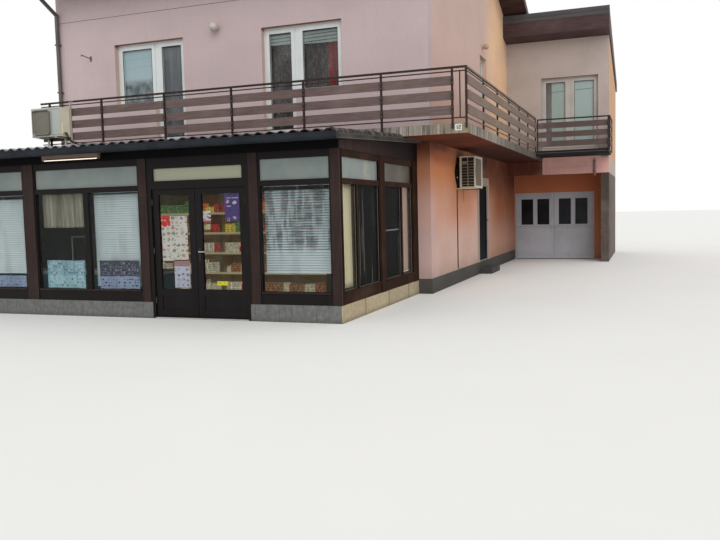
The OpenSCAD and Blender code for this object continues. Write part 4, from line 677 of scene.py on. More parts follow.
# The light band from 3.19 to 3.2 m along the dark metal edge is a painted highlight.
dark_edge = slab.blend(slab.z.fade(3.186, 3.192), (28, 26, 27), (112, 108, 106))
base = slab.layers(
    slab.blend(slab.noise(1.6, 5).fade(0.3, 0.7), (128, 118, 109), (146, 138, 130)),
    (lime * (side_edge * 0.25 + 0.6), (188, 182, 168)), (drip * (side_edge * 0.2 + 0.62), (66, 60, 56)),
    (side_edge * slab.y.fade(4.5, 9.5) * 0.7, (64, 52, 48)), (corner * 0.6, (156, 144, 104)),
    (facing < -0.5, soffit), (drip_edge * (facing < 0.7), slab.blend(slab.z > 3.2, dark_edge, (36, 33, 34))))
dress(slab.set(base=base, rough=0.85, specular=0.2,
               normal=slab.bump(slab.noise(30, 5) + slab.noise(7, 3), 0.003, 0.5)), "balcony_slab")

# %% [markdown]
# The plinth is faced with panels: grey ones 210 mm wide along the street, where the joints run
# straight up, and beige ones round the corner. The joints are drawn by the fraction of the length, and
# each panel gets a tone of its own from the whole part of the same number.

# %% Plinth panels
plinth = Finish("plinth_panels")
round_corner = plinth.x > -0.0005
along = plinth.pick(round_corner, plinth.x * 4.76, plinth.y * 0.83 + 0.17)
part = along.math("FRACT")
joint = (part < 0.02) + (part > 0.985)
mottle = plinth.noise(16, 5).fade(0.3, 0.7)
base = plinth.layers(
    plinth.blend(mottle, (92, 94, 93), (112, 114, 112)),
    (round_corner, plinth.blend(mottle, (168, 152, 122), (188, 174, 144))),
    (plinth.chance(w=along.math("FLOOR")) * 0.18, (84, 82, 78)),
    (plinth.z.fade(0.09, 0.0) * 0.5, (74, 70, 66)), (joint * 0.7, (66, 64, 62)))
dress(plinth.set(base=base, rough=mottle * 0.15 + 0.6, specular=0.3,
                 normal=plinth.bump(plinth.noise(60, 4) * 0.3 - joint, 0.003, 0.6)), "shop_plinth")

# %% [markdown]
# ## Glass
# Window glass is a thin clear sheet that mirrors the pale sky. A Principled shader with full
# transmission would need many bounces through ten panes, so the panes use low alpha with a strong
# gloss instead: what stands behind shows through, and the reflection stays. Round the corner the panes
# are made nearly opaque and dark, painted shade for the dark shop behind, with pale vertical streaks that
# are painted reflections; the two that are drawn with cloth stay clear.

# %% Glass of the shop
def window(finish):
    """The slight waves of a pane."""
    return finish.bump(finish.noise(1.1, 2, (1, 1, 0.5)), 0.004, 0.12)


door = Finish("door_glass")
smear = door.noise(3.5, 5, (1, 1, 0.35)).fade(0.45, 0.8)
dress(door.set(base=door.blend(smear * 0.25, (40, 44, 42), (80, 84, 82)), rough=smear * 0.08 + 0.04,
               specular=0.8, alpha=smear * 0.1 + 0.08, normal=window(door)), "shop_door_left_glass",
      "shop_door_right_glass")

clear = Finish("clear_glass")
round_corner = clear.x > -0.05
smear = clear.noise(3.5, 5, (1, 1, 0.35)).fade(0.45, 0.8)
# The pale vertical streaks on the side panes are painted reflections, and the side panes are painted near
# black and nearly opaque: painted shade for the dark shop behind them.
streak = clear.noise(2.1, 3, (0.3, 5.0, 0.22), 0.5).fade(0.60, 0.68)
drawn = (clear.y < 0.76) + (clear.y > 3.12)
dark_side = clear.layers((34, 36, 36), (streak * 0.5, (116, 114, 108)),
                         (clear.within(y=(2.20, 3.02), z=(1.325, 1.350)) * 0.8, (150, 150, 146)),
                         (drawn, (150, 146, 126)))
tone = clear.layers((60, 68, 66), (smear * 0.25, (100, 108, 106)), (round_corner, dark_side))
beside = clear.pick(drawn, streak * 0.2 + 0.62, 0.06)
dress(clear.set(base=tone, rough=smear * 0.08 + 0.04, specular=0.0, coat=clear.pick(round_corner, 0.6, 0.05),
                alpha=clear.pick(round_corner, smear * 0.1 + 0.12, beside), normal=window(clear)),
      "shop_glass")

# %% [markdown]
# Upstairs each pane shows something else: one carries a painted reflection of the pale sky, trees and
# wires, one is drawn with a curtain, the pair over the corner is dark with a net, and the wing's doors
# carry a painted reflection of a greenish sky with a dark line across it. They are one node, so the
# pane's place picks its tint and how far one sees in.

# %% Upper panes
pane = Finish("upper_glass")
left_pair, far_left, wing_pane = pane.x < -4.0, pane.x < -6.15, pane.y > 12.0
smear = pane.noise(2.2, 4, (1, 1, 0.5)).fade(0.4, 0.75)
# The sky, the trees low down and the thin sloping wires on the far left pane are painted reflections.
painted_tree_reflection = pane.blend(pane.noise(7, 5).fade(0.35, 0.65), (84, 98, 106), (138, 150, 152))
wires = ((pane.z - pane.x * 0.03) * 5.3).math("FRACT") < 0.03
painted_sky_reflection = pane.layers(pane.blend(pane.z.fade(5.5, 4.8), (164, 190, 196), (176, 198, 206)),
                       (pane.z.fade(4.86, 4.66), painted_tree_reflection), (wires * (pane.z > 5.0) * 0.5, (106, 124, 130)))
head_band = (pane.within(x=(-4.0, 0.0), y=(None, 4.4), z=(5.20, None)) * (pane.x * 0.04 + pane.z > 5.12))
head_lines = ((pane.z - pane.x * 0.02) * 14.0).math("FRACT") < 0.3
net_tone = pane.blend(pane.noise(20, 2, (3, 1, 0.1)).fade(0.4, 0.6), (112, 100, 94), (92, 80, 74))
# The wing's greenish sky and the dark line across it are a painted reflection; the brown net behind its left
# pane is not.
line = (pane.z - pane.x * 0.04 - 5.03).math("ABSOLUTE") < 0.008
painted_green_sky_reflection = pane.layers(pane.blend(pane.x > 2.1, (158, 178, 172), (172, 192, 190)), (line, (96, 108, 104)),
                        (wing_pane * (pane.x < 1.606), net_tone))
tone = pane.layers(pane.blend(left_pair, (58, 56, 56), (104, 112, 116)), (far_left, painted_sky_reflection),
                   (head_band, pane.blend(head_lines, (134, 146, 142), (82, 88, 86))), (wing_pane, painted_green_sky_reflection),
                   (smear * 0.25, (190, 204, 206)))
cover = pane.pick(left_pair, head_band * 0.5 + 0.30, 0.45)
cover = pane.pick(wing_pane, pane.pick(far_left, cover, 0.72), 0.78)
dress(pane.set(base=tone, rough=smear * 0.06 + 0.03, specular=0.45, alpha=cover, normal=window(pane)),
      "upper_glass")

# %% [markdown]
# The transom lights over the shop front are frosted. The one over the doors is warmer, and the ones
# round the corner darken towards the house.

# %% Frosted glass
frost = Finish("frosted_glass")
cloud = frost.noise(1.4, 5).fade(0.35, 0.7)
on_side = frost.x > -0.05
ground = frost.layers(frost.blend(cloud, (120, 131, 129), (136, 144, 140)),
                      (frost.x.fade(-3.35, -3.25) * frost.x.fade(-1.58, -1.7) * 0.85, (166, 164, 142)),
                      (on_side * frost.noise(2.6, 2).fade(0.5, 0.7), (152, 154, 138)),
                      (on_side * (frost.y > 2.0), frost.blend(cloud, (70, 66, 58), (98, 94, 86))))
dress(frost.set(base=ground, rough=cloud * 0.1 + 0.3, specular=0.25,
                normal=frost.bump(frost.noise(70, 3), 0.002, 0.3)), "shop_transom_lights")
print("nodes without a finish", [name for name, thing in nodes.items() if not thing.data.materials])

# %% [markdown]
# ## The large roof
# The main roof is a plain gable with wavy clay-coloured concrete tiles. A tile could be cut from a
# block, but a fired tile is a bent plate: a strip of faces is bent into one wave, tipped so that its
# lower edge lies on the tile before it, and given its thickness. Rows and columns of it are arrays.

# %% A wavy tile and a field of them
def wave_tile(name, width, length, rise, tip, thick=0.012, cells=8):
    """One wave wide, its lower edge at y = 0 lifted by tip."""
    tile = settle(primitive("grid", x_subdivisions=cells, y_subdivisions=1, size=1), name,
                  scale=(width, length, 1), location=(width / 2, length / 2, 0))
    for step in range(cells + 1):
        at = width * step / cells
        lift = rise * (0.5 - 0.5 * math.cos(math.tau * step / cells))
        on_corners(tile, lambda spot: abs(spot.x - at) < 1e-4, bpy.ops.transform.translate,
                   value=(0, 0, lift))
    on_corners(tile, lambda spot: spot.y < 1e-4, bpy.ops.transform.translate, value=(0, 0, tip))
    return use_modifier(tile, "SOLIDIFY", thickness=thick, offset=1)


def tile_field(name, x0, x1, run, want_width, want_length, rise, tip):
    """Tiles over a flat field from x0 to x1 and from 0 to run up the slope."""
    columns, rows = round((x1 - x0) / want_width), round(run / want_length)
    width, length = (x1 - x0) / columns, run / rows
    tile = wave_tile(name, width, length * 1.06, rise, tip)
    repeat(tile, columns, (width, 0, 0))
    repeat(tile, rows, (0, length, 0))
    print(name, columns, "by", rows, "tiles")
    return settle(tile, name, location=(x0, 0, 0))


def extruded(name, outline, run):
    """A flat outline of 3-D points pushed along run."""
    piece = primitive("circle", vertices=len(outline), radius=1, fill_type="NGON")
    for corner, spot in zip(piece.data.vertices, outline):
        corner.co = spot
    on_all(bpy.ops.mesh.extrude_region_move, TRANSFORM_OT_translate={"value": run})
    on_all(bpy.ops.mesh.normals_make_consistent, inside=False)
    return settle(piece, name)


def cap_row(name, start, end, radius, thick):
    """Half-round ridge tiles laid in a row, each a little wider at its open end."""
    start, end = Vector(start), Vector(end)
    run = end - start
    count = max(1, round(run.length / CAP_LENGTH))
    length = run.length / (count + 0.05)
    cap = settle(primitive("cone", vertices=20, radius1=radius, radius2=radius * 0.88, depth=length * 1.05,
                           end_fill_type="NOTHING", rotation=(0, math.radians(90), 0)), name)
    on_all(bpy.ops.mesh.bisect, plane_co=(0, 0, 0), plane_no=(0, 0, 1), clear_inner=True)
    use_modifier(cap, "SOLIDIFY", thickness=thick, offset=-1)
    repeat(cap, count, (length, 0, 0))
    run.normalize()
    return settle(cap, name, rotation_euler=run.to_track_quat("X", "Z").to_euler(),
                  location=start + run * length * 0.525)


# %% [markdown]
# The tiles lie inside the thickness that the plain roof has, on a deck that is thinner by as much, so
# the ridge ends at the same height. They start a few millimetres in from the verge.

# %% Deck, tile courses and ridge of the large roof
ROOF_THICK, TILE_DROP, CAP_LENGTH, VERGE_GAP, TILE_SEAT = 0.170, 0.088, 0.36, 0.004, 0.002
CAP_RADIUS = 0.112
roof_low, roof_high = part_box("main_roof")
ridge_y = (roof_low.y + roof_high.y) / 2
roof_run = ridge_y - roof_low.y
roof_angle = math.atan2(roof_high.z - ROOF_THICK - roof_low.z, roof_run)
thin = ROOF_THICK - TILE_DROP / math.cos(roof_angle)


def roof_line(y, lift):
    return roof_low.z + (roof_run - abs(y - ridge_y)) * math.tan(roof_angle) + lift


section = [(roof_low.x, y, roof_line(y, lift)) for y, lift in (
    (roof_low.y, 0), (ridge_y, 0), (roof_high.y, 0), (roof_high.y, thin), (ridge_y, thin),
    (roof_low.y, thin))]
deck = extruded("roof_deck", section, (roof_high.x - roof_low.x, 0, 0))
front_tiles = tile_field("front_tiles", roof_low.x + VERGE_GAP, roof_high.x - VERGE_GAP,
                         roof_run / math.cos(roof_angle) - 0.05, 0.30, 0.34, 0.042, 0.024)
settle(front_tiles, "front_tiles", rotation_euler=(roof_angle, 0, 0),
       location=(0, roof_low.y, roof_line(roof_low.y, thin + TILE_SEAT)))
rear_tiles = settle(copies(front_tiles, [(0, 0, 0)])[0], "rear_tiles", rotation_euler=(0, 0, math.pi),
                    location=(roof_low.x + roof_high.x, 2 * ridge_y, 0))
ridge_caps = cap_row("ridge_caps", *[(x, ridge_y, roof_high.z - CAP_RADIUS)
                                     for x in (roof_low.x + 0.008, roof_high.x - 0.008)], CAP_RADIUS, 0.014)
tiled_roof = join("main_roof_tiles", [deck, front_tiles, rear_tiles, ridge_caps])
mount(tiled_roof, clay)
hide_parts("main_roof")

# %% [markdown]
# ## The shop's lean-to roof
# The shop's roof rises gently to the house and passes under the balcony. Wavy tiles cover it as far as
# the balcony's edge. From the street only their lower ends show over the gutter and, round the corner,
# the last row along the side edge, so those get their thickness and their true wave.
# The tiles have gone dark with soot and moss, a few near the corner are still red, and the cut lower
# ends are pale. The pale lines on the crests along the side edge are a painted highlight.

# %% Deck, tiles and finish of the shop roof
SHOP_PITCH, SHOP_EAVE_Z, DECK_THICK = math.radians(3), 2.835, 0.060
EAVE_OVERHANG, VERGE_IN = 0.035, 0.05
shop_low, shop_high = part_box("shop_roof")
balcony_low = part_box("balcony_slab")[0]


def shop_top(y, lift=0.0):
    return SHOP_EAVE_Z + (y - shop_low.y) * math.tan(SHOP_PITCH) + lift


under_slab = balcony_low.z - 0.0005
turn_y = shop_low.y + (under_slab - SHOP_EAVE_Z) / math.tan(SHOP_PITCH)
deck_outline = [(shop_low.x, y, z) for y, z in (
    (shop_low.y, shop_top(shop_low.y, -DECK_THICK)), (shop_high.y, shop_top(shop_high.y, -DECK_THICK)),
    (shop_high.y, under_slab), (turn_y, under_slab), (shop_low.y, SHOP_EAVE_Z))]
shop_deck = extruded("shop_deck", deck_outline, (shop_high.x - shop_low.x, 0, 0))
tiles_from, tiles_to = shop_low.y - EAVE_OVERHANG, balcony_low.y - 0.012
shop_tiles = tile_field("shop_tiles", shop_low.x + VERGE_GAP, shop_high.x + VERGE_GAP, tiles_to - tiles_from,
                        0.19, CAP_LENGTH, 0.034, 0.020)
settle(shop_tiles, "shop_tiles", rotation_euler=(SHOP_PITCH, 0, 0),
       location=(0, tiles_from, shop_top(tiles_from, 0.003)))
on_all(bpy.ops.mesh.bisect, plane_co=(0, tiles_to, 0), plane_no=(0, 1, 0), clear_outer=True)
verge_tiles = cap_row("verge_tiles",
                      (shop_high.x - VERGE_IN, shop_low.y - 0.03, shop_top(shop_low.y, TILE_SEAT)),
                      (shop_high.x - VERGE_IN, tiles_to, shop_top(tiles_to, TILE_SEAT)), 0.072, 0.012)
shop_cover = join("shop_roof_tiles", [shop_deck, shop_tiles, verge_tiles])
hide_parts("shop_roof")

wavy = Finish("sooty_clay_tile")
patch = wavy.noise(2.3, 5, (1, 0.8, 1), 0.6)
red = wavy.x.fade(-1.3, -0.3) * wavy.y.fade(0.2, -0.2) * wavy.noise(4.0, 2).fade(0.42, 0.56)
pale_ends = wavy.x.fade(-3.6, -5.0) * 0.85 + wavy.noise(5, 2, (1, 0.3, 1)).fade(0.52, 0.62) * 0.7
# Pale crest lines along the side edge: a painted highlight.
painted_crest_highlight = wavy.x.fade(0.02, 0.08) * wavy.noise(7, 2, (1, 1, 1)).fade(0.5, 0.62)
base = wavy.layers(wavy.blend(patch.fade(0.35, 0.7), (48, 44, 46), (76, 70, 70)), (red * 0.8, (96, 56, 50)),
                   (pale_ends * wavy.y.fade(0.1, -0.3), (150, 154, 156)),
                   (wavy.x.fade(-1.6, 0.0) * 0.5, (38, 27, 27)), (painted_crest_highlight * 0.35, (140, 136, 128)),
                   (wavy.noise(30, 4).fade(0.5, 0.75) * 0.4, (46, 46, 40)))
mount(shop_cover, wavy.set(base=base, rough=patch * 0.2 + 0.65, specular=0.25,
                           normal=wavy.bump(wavy.noise(90, 3), 0.0012, 0.4)))

# %% [markdown]
# ## The wing's roof
# Sheet metal with standing seams covers the wing and falls to the back. The seams are thin upstands,
# one modelled and the rest arrayed over the plain sheet.

# %% Standing seams
WING_ANGLE, SEAM_STEP = math.radians(10), 0.52
wing_low, wing_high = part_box("wing_roof")
wing_run = (wing_high.y - wing_low.y) / math.cos(WING_ANGLE)
behind_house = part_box("house_rear_wall")[1].y - wing_low.y + 0.01
seams = []
for name, x0, count, start in (("left_seam", wing_low.x + 0.12, 7, behind_house),
                               ("right_seam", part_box("side_wall_upper")[1].x + 0.2, 6, 0.01)):
    seam = settle(block(name, (x0, start, -0.004), (x0 + 0.012, wing_run - 0.01, 0.028)), name,
                  rotation_euler=(-WING_ANGLE, 0, 0), location=(0, wing_low.y, wing_high.z))
    seams.append(repeat(seam, count, (SEAM_STEP, 0, 0)))
mount(join("wing_seams", seams), roof_sheet)

# %% [markdown]
# ## Blinds behind the front panes
# The shop's blinds have slats about 50 mm wide, let down to just above the sill. A blind is a head box,
# a bottom bar, two pairs of cords and one curved slat repeated. Flat planes would look like paper, so
# the slat is a strip bent across its width before it is turned to its tilt.

# %% Slatted blinds
SLAT_WIDE, SLAT_PITCH, BLIND_Y, BLIND_TOP = 0.048, 0.040, 0.150, 2.155


def slatted_blind(name, x0, x1, y, low, high, tilt, open_above=None, open_tilt=20):
    """Slats from low to high; above open_above they are turned to open_tilt."""
    parts = [block(name + "_head", (x0, y - 0.028, high - 0.045), (x1, y + 0.022, high), 0.004, 2),
             block(name + "_foot", (x0, y - 0.014, low), (x1, y + 0.014, low + 0.016), 0.005, 2)]
    ranges = [(low + 0.03, open_above or high - 0.05, tilt)]
    if open_above:
        ranges.append((open_above, high - 0.05, open_tilt))
    for start, end, angle in ranges:
        slat = settle(primitive("grid", x_subdivisions=1, y_subdivisions=4, size=1), name + "_slat",
                      scale=(x1 - x0 - 0.01, SLAT_WIDE, 1))
        for reach, lift in ((0.3, 0.0035), (0.1, 0.0015)):
            on_corners(slat, lambda spot: abs(spot.y) < SLAT_WIDE * reach, bpy.ops.transform.translate,
                       value=(0, 0, lift))
        use_modifier(slat, "SOLIDIFY", thickness=0.0008, offset=0)
        settle(slat, name + "_slat", rotation_euler=(math.radians(angle), 0, 0),
               location=((x0 + x1) / 2, y, start))
        parts.append(repeat(slat, int((end - start) / SLAT_PITCH), (0, 0, SLAT_PITCH)))
    for share in (0.12, 0.5, 0.88):
        x = x0 + (x1 - x0) * share
        parts += [block(name + "_cord", (x - 0.0015, y + side - 0.001, low + 0.01),
                        (x + 0.0015, y + side + 0.001, high - 0.04), 0) for side in (-0.021, 0.021)]
    return join(name, parts)


shaded = Finish("blind_shaded")
# On the right bay's opened slats, the dark vertical bands above 1.0 m are painted shade from behind the
# slats.
shade = shaded.noise(4.2, 4, (2.4, 1, 0.35), 0.6).fade(0.42, 0.58) * shaded.z.fade(1.0, 1.25)
shade = shade * (shaded.noise(11, 3, (0.5, 1, 3)).fade(0.35, 0.6) * 0.5 + 0.5)
shaded.set(base=shaded.blend(shade * 0.72, (206, 222, 226), (66, 74, 80)), rough=0.5, specular=0.3,
           normal=shaded.bump(shaded.noise(14, 3), 0.0006, 0.3))
for name, x0, x1, low, tilt, opened in (
        ("blind_right_bay", -1.326, -0.19, 0.75, 62, 1.15), ("blind_mid_bay", -4.617, -3.604, 0.51, 66, None),
        ("blind_left_bay", -8.496, -7.326, 0.75, 68, None),
        ("blind_left_bay_2", -7.214, -6.044, 0.72, 68, None)):
    blind = slatted_blind(name, x0, x1, BLIND_Y, low, BLIND_TOP, tilt, opened, 48)
    mount(blind, shaded.material if opened else blind_white)
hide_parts("shop_blinds")

# %% [markdown]
# The last light round the corner has a plain roller panel instead. It is one long cloth that hangs
# straight from its tube and is held flat by a bar.

# %% Roller panel
ROLLER_X, ROLLER_Y, ROLLER_LOW = -0.104, (3.13, 3.83), 0.49
hem = ROLLER_LOW + 0.012
drop = BLIND_TOP - 0.03 - hem
flat = (ROLLER_Y[1] - ROLLER_Y[0] - 0.03, drop)
tube = rod("roller_tube", *[(ROLLER_X, y, BLIND_TOP - 0.022) for y in ROLLER_Y], 0.021, 20)
bar = block("roller_bar", (ROLLER_X - 0.008, ROLLER_Y[0] + 0.01, ROLLER_LOW),
            (ROLLER_X + 0.004, ROLLER_Y[1] - 0.01, ROLLER_LOW + 0.024), 0.004, 2)
cloth = settle(primitive("grid", x_subdivisions=24, y_subdivisions=40, size=1,
                         rotation=(math.radians(90), 0, math.radians(90))), "roller_panel",
               scale=(*flat, 1), location=(ROLLER_X, sum(ROLLER_Y) / 2, hem + drop / 2))
for corner in cloth.data.vertices:
    share = (corner.co.z - ROLLER_LOW) / drop
    corner.co.x += 0.002 * math.sin(9 * corner.co.y) * math.sin(math.pi * share)
use_modifier(cloth, "SOLIDIFY", thickness=0.0008, offset=0)
mount(join("roller_fittings", [tube, bar]), blind_white)
mount(cloth, coated("roller_cloth", (186, 156, 146), (160, 138, 132), 0.3, 0.85))

# %% [markdown]
# ## Gathered curtains
# A curtain is a flat cloth cut wider than its opening and gathered on a rail, so it falls in soft
# vertical folds that open a little towards the hem. A strip of faces is laid into waves whose depth and
# place wander a little; the length of that wavy line is the width the cloth was cut to.

# %% Curtain recipe
def curtain(name, start, end, low, high, folds, depth, seed, finish, pole_finish):
    """Hangs between two points of its rail, given in plan."""
    pole_ends = [(*spot, high + 0.006) for spot in (start, end)]
    start, end = Vector((*start, 0)), Vector((*end, 0))
    run = end - start
    across = Vector((-run.y, run.x, 0)).normalized()
    chance = random.Random(seed)
    bends = [(chance.uniform(0.75, 1.0), chance.uniform(-0.35, 0.35)) for _ in range(folds + 1)]
    cloth = primitive("grid", x_subdivisions=folds * 12, y_subdivisions=16, size=1)
    for corner in cloth.data.vertices:
        u, v = corner.co.x + 0.5, corner.co.y + 0.5
        tall, shift = bends[min(int(u * folds), folds - 1)]
        wave = math.sin(math.tau * (u * folds) + shift * math.sin(math.pi * (u * folds % 1)))
        swing = tall * (0.7 + 0.3 * (1 - v)) * wave + 0.12 * math.sin(7 * v + 11 * u)
        spot = start + run * u + across * (0.5 * depth * max(-1, min(1, swing)))
        corner.co = (spot.x, spot.y, low + (high - low) * v)
    row = [c.co.copy() for c in cloth.data.vertices if abs(c.co.z - (low + high) / 2) < (high - low) / 31]
    row.sort(key=lambda c: (c - start).dot(run))
    settle(cloth, name)
    only(use_modifier(cloth, "SOLIDIFY", thickness=0.0009, offset=0))
    bpy.ops.object.shade_smooth()
    mount(cloth, finish)
    pole = mount(rod(name + "_rail", *pole_ends, 0.009, 10), pole_finish)


def plain_cloth(name, light, dark, clear_share=None):
    cloth = Finish(name)
    weave = cloth.noise(2.5, 4, (6, 6, 0.3))
    cloth.set(base=cloth.blend(weave.fade(0.3, 0.7), light, dark), rough=0.9, specular=0.1,
              normal=cloth.bump(cloth.noise(300, 2), 0.0005, 0.4))
    if clear_share:
        flower = cloth.noise(16, 3, (1, 1, 0.6)).fade(0.45, 0.55)
        cloth.set(alpha=flower * (clear_share[1] - clear_share[0]) + clear_share[0])
    return cloth.material


# %% [markdown]
# The shop has a short net beside the doors and a cream curtain round the corner. Upstairs there are a
# patterned net and one red curtain in the pair over the corner, a grey curtain and a low net in the
# other, and a brown one at the wing.

# %% Curtains
RAIL_Y, HEAD, DOOR_FOOT, SILL = 4.425, 5.455, 3.475, 4.31
cream = Finish("cream_cloth")
weave_across = (cream.z * 900).math("SINE")
ground = cream.layers(cream.blend(cream.noise(2.5, 4, (1, 1, 0.3)).fade(0.3, 0.7), (214, 206, 172),
                                  (192, 184, 152)),
                      (cream.noise(240, 2).fade(0.4, 0.8) * 0.2, (160, 150, 120)))
# The glow on the cream cloth is painted light: it is no lamp.
cream.set(base=ground, rough=0.9, specular=0.15, sheen=0.3, glow=ground, glow_strength=0.04,
          normal=cream.bump(weave_across * 0.5 + cream.noise(300, 2), 0.0005, 0.4))
net = Finish("brown_net")
net_tone = net.blend(net.noise(4, 3, (5, 1, 0.2)).fade(0.3, 0.7), (176, 174, 156), (124, 122, 108))
# The glow on the net is painted light as well.
net.set(base=net_tone, rough=0.9, specular=0.1, alpha=net.noise(420, 1).fade(0.4, 0.6) * 0.25 + 0.65,
        glow=net_tone, glow_strength=0.08)
lace = plain_cloth("lace", (164, 156, 154), (120, 112, 112), (0.35, 0.8))
red_cloth = plain_cloth("red_cloth", (226, 34, 50), (160, 22, 36))
grey_cloth = plain_cloth("grey_cloth", (176, 172, 176), (108, 102, 108))
brown_cloth = plain_cloth("brown_cloth", (112, 96, 88), (84, 70, 64))
for name, start, end, low, folds, depth, seed, finish in (
        ("short_curtain", (-5.74, 0.16), (-4.73, 0.16), 1.53, 11, 0.034, 4, net.material),
        ("side_curtain", (-0.115, 0.13), (-0.115, 0.79), 0.49, 6, 0.030, 9, cream.material)):
    curtain(name, start, end, low, 2.13, folds, depth, seed, finish, bright_metal)
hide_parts("shop_curtains")
for name, x0, x1, y, low, high, folds, finish, seed in (
        ("lace_door", -3.21, -2.74, RAIL_Y, DOOR_FOOT, HEAD, 9, lace, 11),
        ("lace_window", -2.44, -1.68, RAIL_Y, SILL, HEAD, 14, lace, 12),
        ("red_curtain", -1.92, -1.70, 4.400, SILL, HEAD, 5, red_cloth, 13),
        ("grey_curtain", -5.86, -5.45, RAIL_Y, DOOR_FOOT, HEAD, 6, grey_cloth, 14),
        ("low_net", -6.98, -6.22, RAIL_Y, SILL, 4.74, 10, lace, 15),
        ("brown_curtain", 1.46, 1.60, 13.44, 3.53, 5.37, 3, brown_cloth, 16)):
    curtain(name, (x0, y), (x1, y), low, high, folds, 0.026, seed, finish, window_white)

# %% [markdown]
# ## Printed sheets on the glass
# Offers hang behind the panes. They are thin printed cards held flat by the glass, each a box of paper
# 0.6 mm thick, and their pictures are made only of plain blots and bars in the right colours. The
# print is a grid of cells: each cell holds a blot of its own tint and size, placed by chance.

# %% Printed cards
def printed(name, paper, tints, cell, foot=None, head=None, fill=0.34, glow=0.03):
    """A card's print: cells of blots in three tints on paper. foot and head are (height, colour)
    for paper below and for a plain band above that height."""
    card = Finish(name)
    across, up = (card.x + card.y) / cell, card.z / cell
    spot = card.node("CombineXYZ", {}, {0: across.math("FLOOR"), 1: up.math("FLOOR")})
    size = card.chance(vector=spot)
    kind = card.chance(vector=card.node("VectorMath", {}, {0: spot, 1: (7.3, 3.1, 0)}))
    in_cell, in_row = across.math("FRACT"), up.math("FRACT")
    dx, dy = in_cell - (size * 0.3 + 0.35), in_row - (kind * 0.3 + 0.35)
    torn = card.noise(1.9 / cell, 4, (1, 1, 1.2), 0.6)
    blot = (dx * dx + dy * dy * 1.8 < size * 0.14 + fill * fill * 0.8) * (torn > 0.47) * (kind > 0.12)
    bar = (in_row < 0.08) * (in_cell > size * 0.7 + 0.1) * (kind > 0.5)
    tint = card.layers(card.blend(size > 0.36, tints[0], tints[1]), (kind > 0.66, tints[2]))
    base = card.layers(paper, (blot, tint), (bar, tints[0]))
    if foot:
        base = card.layers(base, (card.z < foot[0], card.blend(blot, foot[1], tint)))
    if head:
        base = card.layers(base, (card.z > head[0], head[1]))
    # The glow on every card, strongest on the yellow strip, is painted light.
    return card.set(base=base, rough=0.5, specular=0.3, glow=base, glow_strength=glow,
                    normal=card.bump(card.noise(160, 2), 0.0002, 0.3))


# %% [markdown]
# The cards on the doors are fixed to the leaves and open with them.

# %% Cards behind the panes
PAPER, ON_LEAF, ON_PANE = 0.0006, 0.0620, 0.0466
LEFT_LEAF, RIGHT_LEAF = "shop_leaf_left", "shop_leaf_right"
leaflet = printed("print_leaflet", (136, 176, 190), ((64, 84, 98), (190, 204, 208), (76, 116, 138)), 0.055,
                  foot=(0.700, (152, 196, 206)), fill=0.3)
leaflet_dark = printed("print_leaflet_dark", (62, 66, 84), ((168, 170, 182), (118, 116, 148), (36, 40, 54)),
                       0.055, foot=(0.690, (142, 160, 190)), fill=0.3)
notice = printed("print_notice", (204, 200, 194), ((46, 44, 44), (70, 66, 66), (160, 152, 148)), 0.135,
                 foot=(1.605, (168, 84, 80)), fill=0.30)
offers = printed("print_offers", (196, 196, 190), ((128, 112, 104), (112, 122, 104), (168, 130, 96)), 0.090,
                 fill=0.30)
offers_low = printed("print_offers_low", (176, 182, 196), ((132, 104, 118), (112, 112, 138), (104, 108, 118)),
                     0.085, head=(0.86, (150, 116, 120)), fill=0.28)
red_corner = printed("print_red", (196, 44, 36), ((214, 90, 70), (226, 190, 180), (196, 44, 36)), 0.05)
violet = printed("print_violet", (66, 48, 108), ((206, 200, 214), (190, 184, 200), (176, 166, 190)), 0.13,
                 fill=0.16)
lime_paper = printed("print_lime", (168, 172, 120), ((120, 130, 84), (196, 196, 170), (168, 172, 120)), 0.06)
yellow = printed("print_yellow", (214, 210, 32), ((60, 58, 30), (120, 116, 30), (214, 210, 32)), 0.034,
                 fill=0.2, glow=0.2)
for name, x0, x1, z0, z1, y, finish, tilt, body in (
        ("offers_card", -3.200, -2.705, 0.955, 1.690, ON_LEAF, offers, 0, LEFT_LEAF),
        ("offers_corner", -3.206, -3.030, 1.515, 1.692, ON_LEAF - 2 * PAPER, red_corner, -4, LEFT_LEAF),
        ("offers_low_card", -2.985, -2.690, 0.505, 0.970, ON_LEAF, offers_low, 0, LEFT_LEAF),
        ("violet_card", -2.000, -1.722, 1.590, 2.030, ON_LEAF, violet, -1, RIGHT_LEAF),
        ("notice_card", -2.402, -2.258, 1.570, 1.760, ON_LEAF, notice, 0, RIGHT_LEAF),
        ("lime_card", -2.385, -2.270, 1.460, 1.545, ON_LEAF, lime_paper, 0, RIGHT_LEAF),
        ("yellow_strip", -2.190, -1.990, 0.555, 0.620, ON_LEAF, yellow, 0, RIGHT_LEAF),
        ("leaflets_left", -5.605, -4.790, 0.478, 0.960, ON_PANE, leaflet, 0.5, "building"),
        ("leaflets_right", -4.480, -3.670, 0.478, 0.960, ON_PANE, leaflet_dark, -0.4, "building"),
        ("leaflets_bay_1a", -8.05, -7.40, 0.485, 0.690, ON_PANE, leaflet, 0, "building"),
        ("leaflets_bay_1b", -6.95, -6.10, 0.485, 0.690, ON_PANE, leaflet_dark, 0, "building")):
    piece = block(name, (x0, y, z0), (x1, y + PAPER, z1), 0)
    centre = Vector(((x0 + x1) / 2, y, (z0 + z1) / 2))
    piece.data.transform(Matrix.Translation(centre) @ Matrix.Rotation(math.radians(tilt), 4, "Y")
                         @ Matrix.Translation(-centre))
    mount(piece, finish, body)

# %% [markdown]
# ## Goods on the shelves
# Through the doors and the panes one sees packets, jars and bags. Four shapes are modelled once, each
# is given to a few colours, and seeded chance sets them side by side on every board with small gaps.

